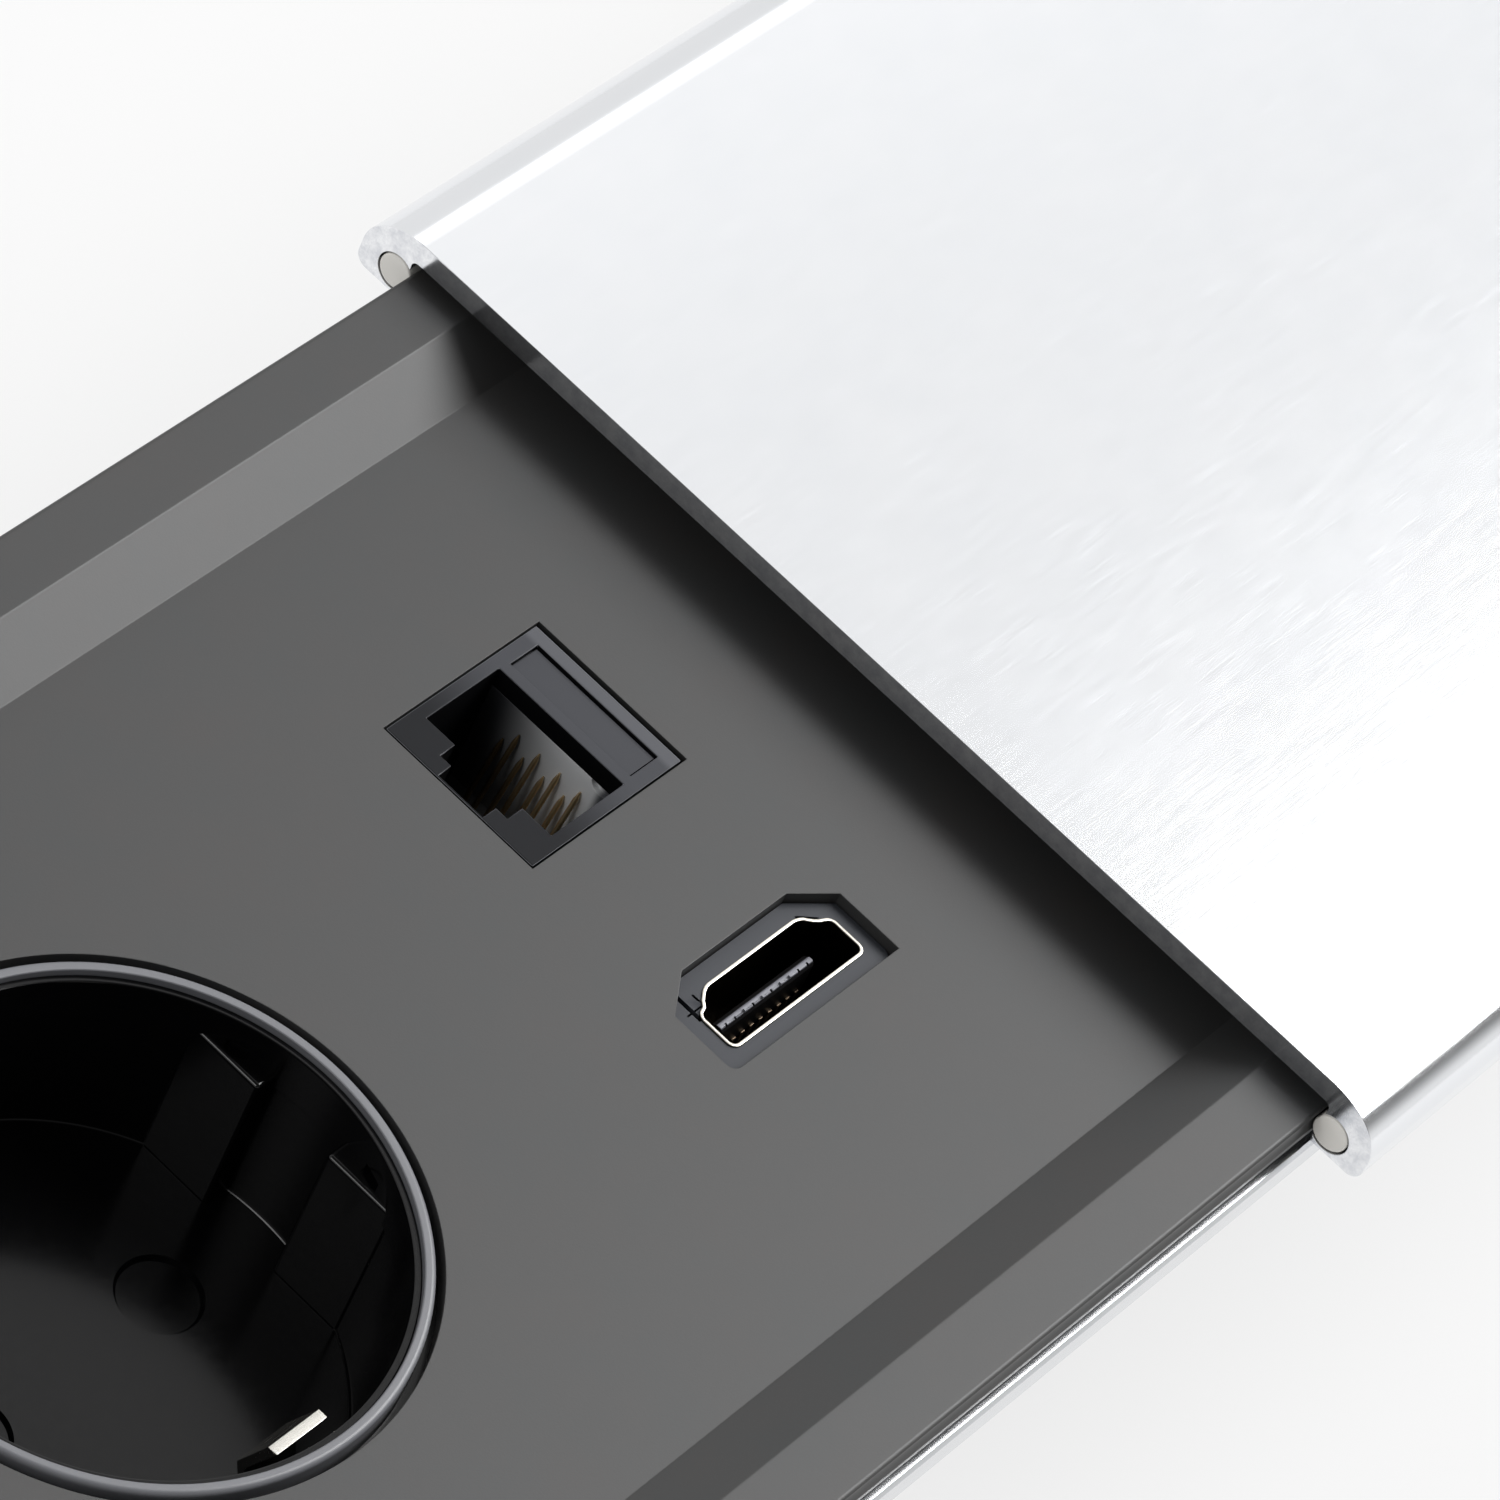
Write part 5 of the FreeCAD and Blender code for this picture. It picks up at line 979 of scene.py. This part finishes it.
class MODULE_OT_finishes(bpy.types.Operator):
    """Give every piece the material of its slot"""
    bl_idname = "module.finishes"
    bl_label = "Finishes"

    def plastics(self):
        """Mouldings and rubber, each with the real finish and what it gives the eye."""
        return {
            # Dull dark grey with warm and cool clouds, under a grain that only just breaks the light
            "tray_plastic": moulding("Satin moulded PC-ABS, anthracite", ("#343130", "#2D3031"),
                                     roughness=0.45, grain_mm=0.16, depth_mm=0.004, shine=0.43),
            # Milky off-white that glows a little at its edges
            "glide_plastic": moulding("Natural acetal", ("#E6E4DF", "#DCD9D2"),
                                      roughness=0.45, grain_mm=0.2, depth_mm=0.003),
            # Slippery black with a low sheen
            "stop_plastic": moulding("Black acetal", ("#232426", "#1C1D1F"),
                                     roughness=0.4, grain_mm=0.2, depth_mm=0.003),
            # Flat black that takes no highlight
            "buffer_rubber": moulding("Black nitrile rubber", ("#1E1E1F", "#171718"),
                                      roughness=0.75, grain_mm=0.25, depth_mm=0.01),
            # Deep black that shows only thin reflections on its edges
            "socket_black": moulding("Glossy black polyamide", ("#060607", "#040405"),
                                     roughness=0.16, grain_mm=0.6, depth_mm=0.002, shine=0.35),
            # Even light grey with a soft sheen
            "ring_plastic": moulding("Satin moulded polycarbonate, grey", ("#67686C", "#5F6064"),
                                     roughness=0.4, grain_mm=0.16, depth_mm=0.003),
            # Cool dark grey beside the tray's neutral grey
            "surround_plastic": moulding("Satin moulded ABS, slate", ("#36383D", "#303237"),
                                         roughness=0.45, grain_mm=0.14, depth_mm=0.003, shine=0.27),
            # Dull black with a coarse leathery texture
            "housing_plastic": moulding("Textured polypropylene, black", ("#242527", "#1E1F21"),
                                        roughness=0.55, grain_mm=0.45, depth_mm=0.02),
            # Plain mid grey of an inner moulding
            "base_plastic": moulding("Moulded polyamide, natural grey", ("#8C8D8B", "#828380"),
                                     roughness=0.5, grain_mm=0.3, depth_mm=0.005),
            # Waxy off-white of a terminal strip
            "terminal_plastic": moulding("Moulded polyamide, white", ("#D9D8D2", "#CFCEC8"),
                                         roughness=0.45, grain_mm=0.3, depth_mm=0.004),
            # Black with a soft moulded sheen
            "gland_plastic": moulding("Moulded polyamide, black", ("#1F2022", "#191A1C"),
                                      roughness=0.42, grain_mm=0.3, depth_mm=0.004),
        }

    def port_plastics(self):
        """Mouldings of the two ports, with light and shade painted into their colour by their form."""
        tongue_top = corners("hdmi_tongue")[1].z
        return {
            # Blue-black at the latch, with a painted sheen lighter towards the label and past it, painted
            # highlights on its rounded edges, and painted shade black on the opening's walls and below the
            # face
            "jack_plastic": moulding("Moulded ABS, blue-black", ("#18191C", "#141518"),
                                     roughness=0.42, grain_mm=0.12, depth_mm=0.002, shine=0.1,
                                     painted_light_fades=(("X", 30.0, 39.0, "#3E3F43"), ("X", 41.5, 42.2, "#515256"),
                                            ("Z", FACE - 0.7, FACE - 1.2, "#08080A")),
                                     painted_light_slopes=(("Z", 0.96, 0.85, "#6E6F73"), ("Z", 0.5, 0.3, "#08080A"))),
            # Pale grey where light falls in, with painted shade dark towards the closed side of the opening
            # and darker at its low-Y end
            "carrier_plastic": moulding("Natural PBT, pale grey", ("#E2E3E4", "#D2D4D6"),
                                        roughness=0.4, grain_mm=0.2, depth_mm=0.002,
                                        painted_light_fades=(("Y", 8.0, 16.5, "#26272A"), ("Y", 6.8, 6.0, "#4A4B4F"))),
            # Light grey tip over a base darkened by painted shade deep in the port
            "tongue_plastic": moulding("Moulded LCP, grey", ("#7E7F87", "#75767D"),
                                       roughness=0.35, grain_mm=0.1, depth_mm=0.002,
                                       painted_light_fades=(("Z", tongue_top - 0.05, tongue_top - 0.12, "#131213"),)),
        }

    def metals(self):
        """Metals, each with the real finish and what it gives the eye, and painted shade on the contacts and
        the shell inside the ports.
        """
        shell_top = corners("hdmi_shell")[1].z
        return {
            # Near-white satin along the extrusion, and a bright mottled saw cut at its ends
            "cover_aluminium": drawn_metal("Natural anodised aluminium", ("#ECEDEF", "#E7E9EC"),
                                           roughness=0.14, line_mm=0.12, depth_mm=0.0004,
                                           saw_cut=("#F6F7F9", "#D9DBE0")),
            # Smooth bright metal without a coat
            "rail_aluminium": drawn_metal("Mill-finish aluminium", ("#DEDFE1", "#D2D4D7"),
                                          roughness=0.18, line_mm=0.12, depth_mm=0.0006),
            # Brown-yellow metal, tarnished
            "brass": drawn_metal("Stamped brass, dulled", ("#6E5A34", "#5E4C2C"),
                                 roughness=0.42, line_mm=0.15, depth_mm=0.002),
            # Warm silver strip with a bright bend
            "spring_steel": drawn_metal("Nickel-plated spring steel", ("#C4C2BC", "#B5B3AD"),
                                        roughness=0.25, line_mm=0.1, depth_mm=0.001),
            # Warm gold on thin wires, with painted shade browner farther from the jack's open side and on the
            # HDMI strips deep in the port
            "gilt_contacts": drawn_metal("Gold-flashed phosphor bronze", ("#FFE6BC", "#EDCF9A"),
                                         roughness=0.5, line_mm=0.05, depth_mm=0.0005,
                                         painted_light_fades=(("Y", 9.0, 15.0, "#7E6A4C"), ("Y", 0.0, -5.0, "#6B5D4E"))),
            # Cream-white rim over inner walls darkened by painted shade
            "shell_metal": drawn_metal("Bright nickel-plated steel", ("#DAD5CA", "#D0CBBF"),
                                       roughness=0.3, line_mm=0.1, depth_mm=0.0006,
                                       painted_light_fades=(("Z", shell_top - 0.04, shell_top - 0.14, "#2B261E"),)),
            # Cool light grey with a cloudy plated shine
            "zinc_steel": drawn_metal("Zinc-plated steel", ("#BEC0C2", "#ABADB1"),
                                      roughness=0.38, line_mm=0.2, depth_mm=0.003, stretch=3.0),
        }

    def execute(self, context):
        materials = {**self.plastics(), **self.port_plastics(), **self.metals()}
        slots = node_slots()
        for piece in bpy.context.scene.objects:
            if piece.type != "MESH":
                continue
            slot = piece.get("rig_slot") or slots.get(piece.get("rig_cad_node"))
            if slot is None:
                raise RuntimeError(f"{piece.name} has no finish")
            if not piece.material_slots:
                piece.data.materials.append(None)
            for place in piece.material_slots:
                place.material = materials[slot]
        return {"FINISHED"}


def node_slots():
    """Material slot of each CAD node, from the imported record."""
    return {part["node"]: part["material_slot"] for part in frame["record"]["subparts"]}


class MODULE_OT_stage(bpy.types.Operator):
    """Pale floor, soft studio light and the camera"""
    bl_idname = "module.stage"
    bl_label = "Stage"

    # The photograph's viewpoint, in metres and degrees, and its lens for a 36 mm wide picture
    camera_place = (-0.32316, -0.13930, 0.47913)
    camera_turn = (39.00044, -17.93024, -48.41062)
    picture_width_mm = 36.0
    lens_mm = 199.53

    # Places and diameters of the three lamps, in metres, and the point that they shine at
    key_place, key_size = (0.98, -0.36, 1.12), 1.1
    fill_place, fill_size = (1.26, 0.34, 1.58), 2.0
    rim_place, rim_size = (-0.89, 0.29, 0.84), 0.5
    lamp_aim = (0, 0, 0.04)

    # The studio is bright from the floor up to these heights, and higher up on its +Y side
    bright_up_to, dim_from = 0.05, 0.5
    lift_on_far_side = 1.2

    def floor(self, stage):
        bpy.ops.object.select_all(action="DESELECT")
        bpy.ops.mesh.primitive_plane_add(size=stage.floor_size, location=(0, 0, 0))
        floor = bpy.context.object
        floor.name = "floor"
        material, tree, place = new_material("Matt white paint")
        cloud = noise(tree, place, FLOOR_CLOUD_MM, 2.0)
        pale = tuple(stage.floor_colour) + (1.0,)
        dim = tuple(value * 0.99 for value in stage.floor_colour) + (1.0,)
        colour = node(tree, "ShaderNodeMix", {"data_type": "RGBA", 6: pale, 7: dim}, {0: cloud})
        matt = {"Roughness": 0.9, "Emission Color": (1, 1, 1, 1), "Emission Strength": stage.floor_glow}
        shader = node(tree, "ShaderNodeBsdfPrincipled", matt, {"Base Color": colour.outputs[2]})
        close(tree, shader)
        floor.data.materials.append(material)

    def light(self, name, place, size, power):
        bpy.ops.object.light_add(type="AREA", location=place)
        lamp = bpy.context.object
        lamp.name = name
        lamp.data.shape = "DISK"
        lamp.data.size = size
        lamp.data.energy = power
        lamp.rotation_euler = (Vector(self.lamp_aim) - Vector(place)).to_track_quat("-Z", "Y").to_euler()

    def studio(self, stage):
        """Even light from all round, stronger near the floor."""
        world = bpy.data.worlds.new("Studio")
        world.use_nodes = True
        tree = world.node_tree
        tree.nodes.clear()
        way = node(tree, "ShaderNodeTexCoord").outputs["Generated"]
        parts = node(tree, "ShaderNodeSeparateXYZ", links={"Vector": way})
        side = node(tree, "ShaderNodeMath", {"operation": "MAXIMUM", 1: 0.0}, {0: parts.outputs["Y"]})
        lift = node(tree, "ShaderNodeMath", {"operation": "MULTIPLY", 1: self.lift_on_far_side},
                    {0: side.outputs[0]})
        height = node(tree, "ShaderNodeMath", {"operation": "SUBTRACT"},
                      {0: parts.outputs["Z"], 1: lift.outputs[0]})
        strength = node(tree, "ShaderNodeMapRange",
                        {"interpolation_type": "SMOOTHSTEP", "From Min": self.bright_up_to,
                         "From Max": self.dim_from, "To Min": stage.horizon_strength,
                         "To Max": stage.sky_strength},
                        {"Value": height.outputs[0]})
        sky = node(tree, "ShaderNodeBackground", {"Color": (1, 1, 1, 1)},
                   {"Strength": strength.outputs["Result"]})
        node(tree, "ShaderNodeOutputWorld", links={"Surface": sky.outputs["Background"]})
        bpy.context.scene.world = world

    def camera(self):
        turn = [math.radians(angle) for angle in self.camera_turn]
        bpy.ops.object.camera_add(location=self.camera_place, rotation=turn)
        camera = bpy.context.object
        camera.name = "camera"
        camera.data.sensor_width = self.picture_width_mm
        camera.data.lens = self.lens_mm
        camera.data.clip_start = 0.01
        camera.data.clip_end = 50
        bpy.context.scene.camera = camera

    def execute(self, context):
        stage = context.scene.module_stage
        self.floor(stage)
        self.studio(stage)
        self.light("key", self.key_place, self.key_size, stage.key_power)
        self.light("fill", self.fill_place, self.fill_size, stage.fill_power)
        self.light("rim", self.rim_place, self.rim_size, stage.rim_power)
        context.scene.view_settings.view_transform = "Standard"
        context.scene.view_settings.look = "None"
        self.camera()
        return {"FINISHED"}


class MODULE_PT_panel(bpy.types.Panel):
    """Sizes, stage values and the steps that dress the module"""
    bl_label = "Power module"
    bl_idname = "MODULE_PT_panel"
    bl_space_type = "VIEW_3D"
    bl_region_type = "UI"
    bl_category = "Power module"

    def draw(self, context):
        layout = self.layout
        for group in (context.scene.module_sizes, context.scene.module_stage):
            for name in group.__annotations__:
                layout.prop(group, name)
        for step in STEPS:
            layout.operator(step.bl_idname)


STEPS = (MODULE_OT_tray, MODULE_OT_cover, MODULE_OT_rods, MODULE_OT_sockets, MODULE_OT_network_port,
         MODULE_OT_video_port, MODULE_OT_trim, MODULE_OT_finishes, MODULE_OT_stage)
CLASSES = (ModuleSizes, ModuleStage) + STEPS + (MODULE_PT_panel,)


def register():
    for item in CLASSES:
        bpy.utils.register_class(item)
    bpy.types.Scene.module_sizes = PointerProperty(type=ModuleSizes)
    bpy.types.Scene.module_stage = PointerProperty(type=ModuleStage)


def unregister():
    del bpy.types.Scene.module_stage
    del bpy.types.Scene.module_sizes
    for item in reversed(CLASSES):
        bpy.utils.unregister_class(item)


def main():
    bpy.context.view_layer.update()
    register()
    for step in STEPS:
        group, name = step.bl_idname.split(".")
        getattr(getattr(bpy.ops, group), name)()


if __name__ == "__main__":
    main()
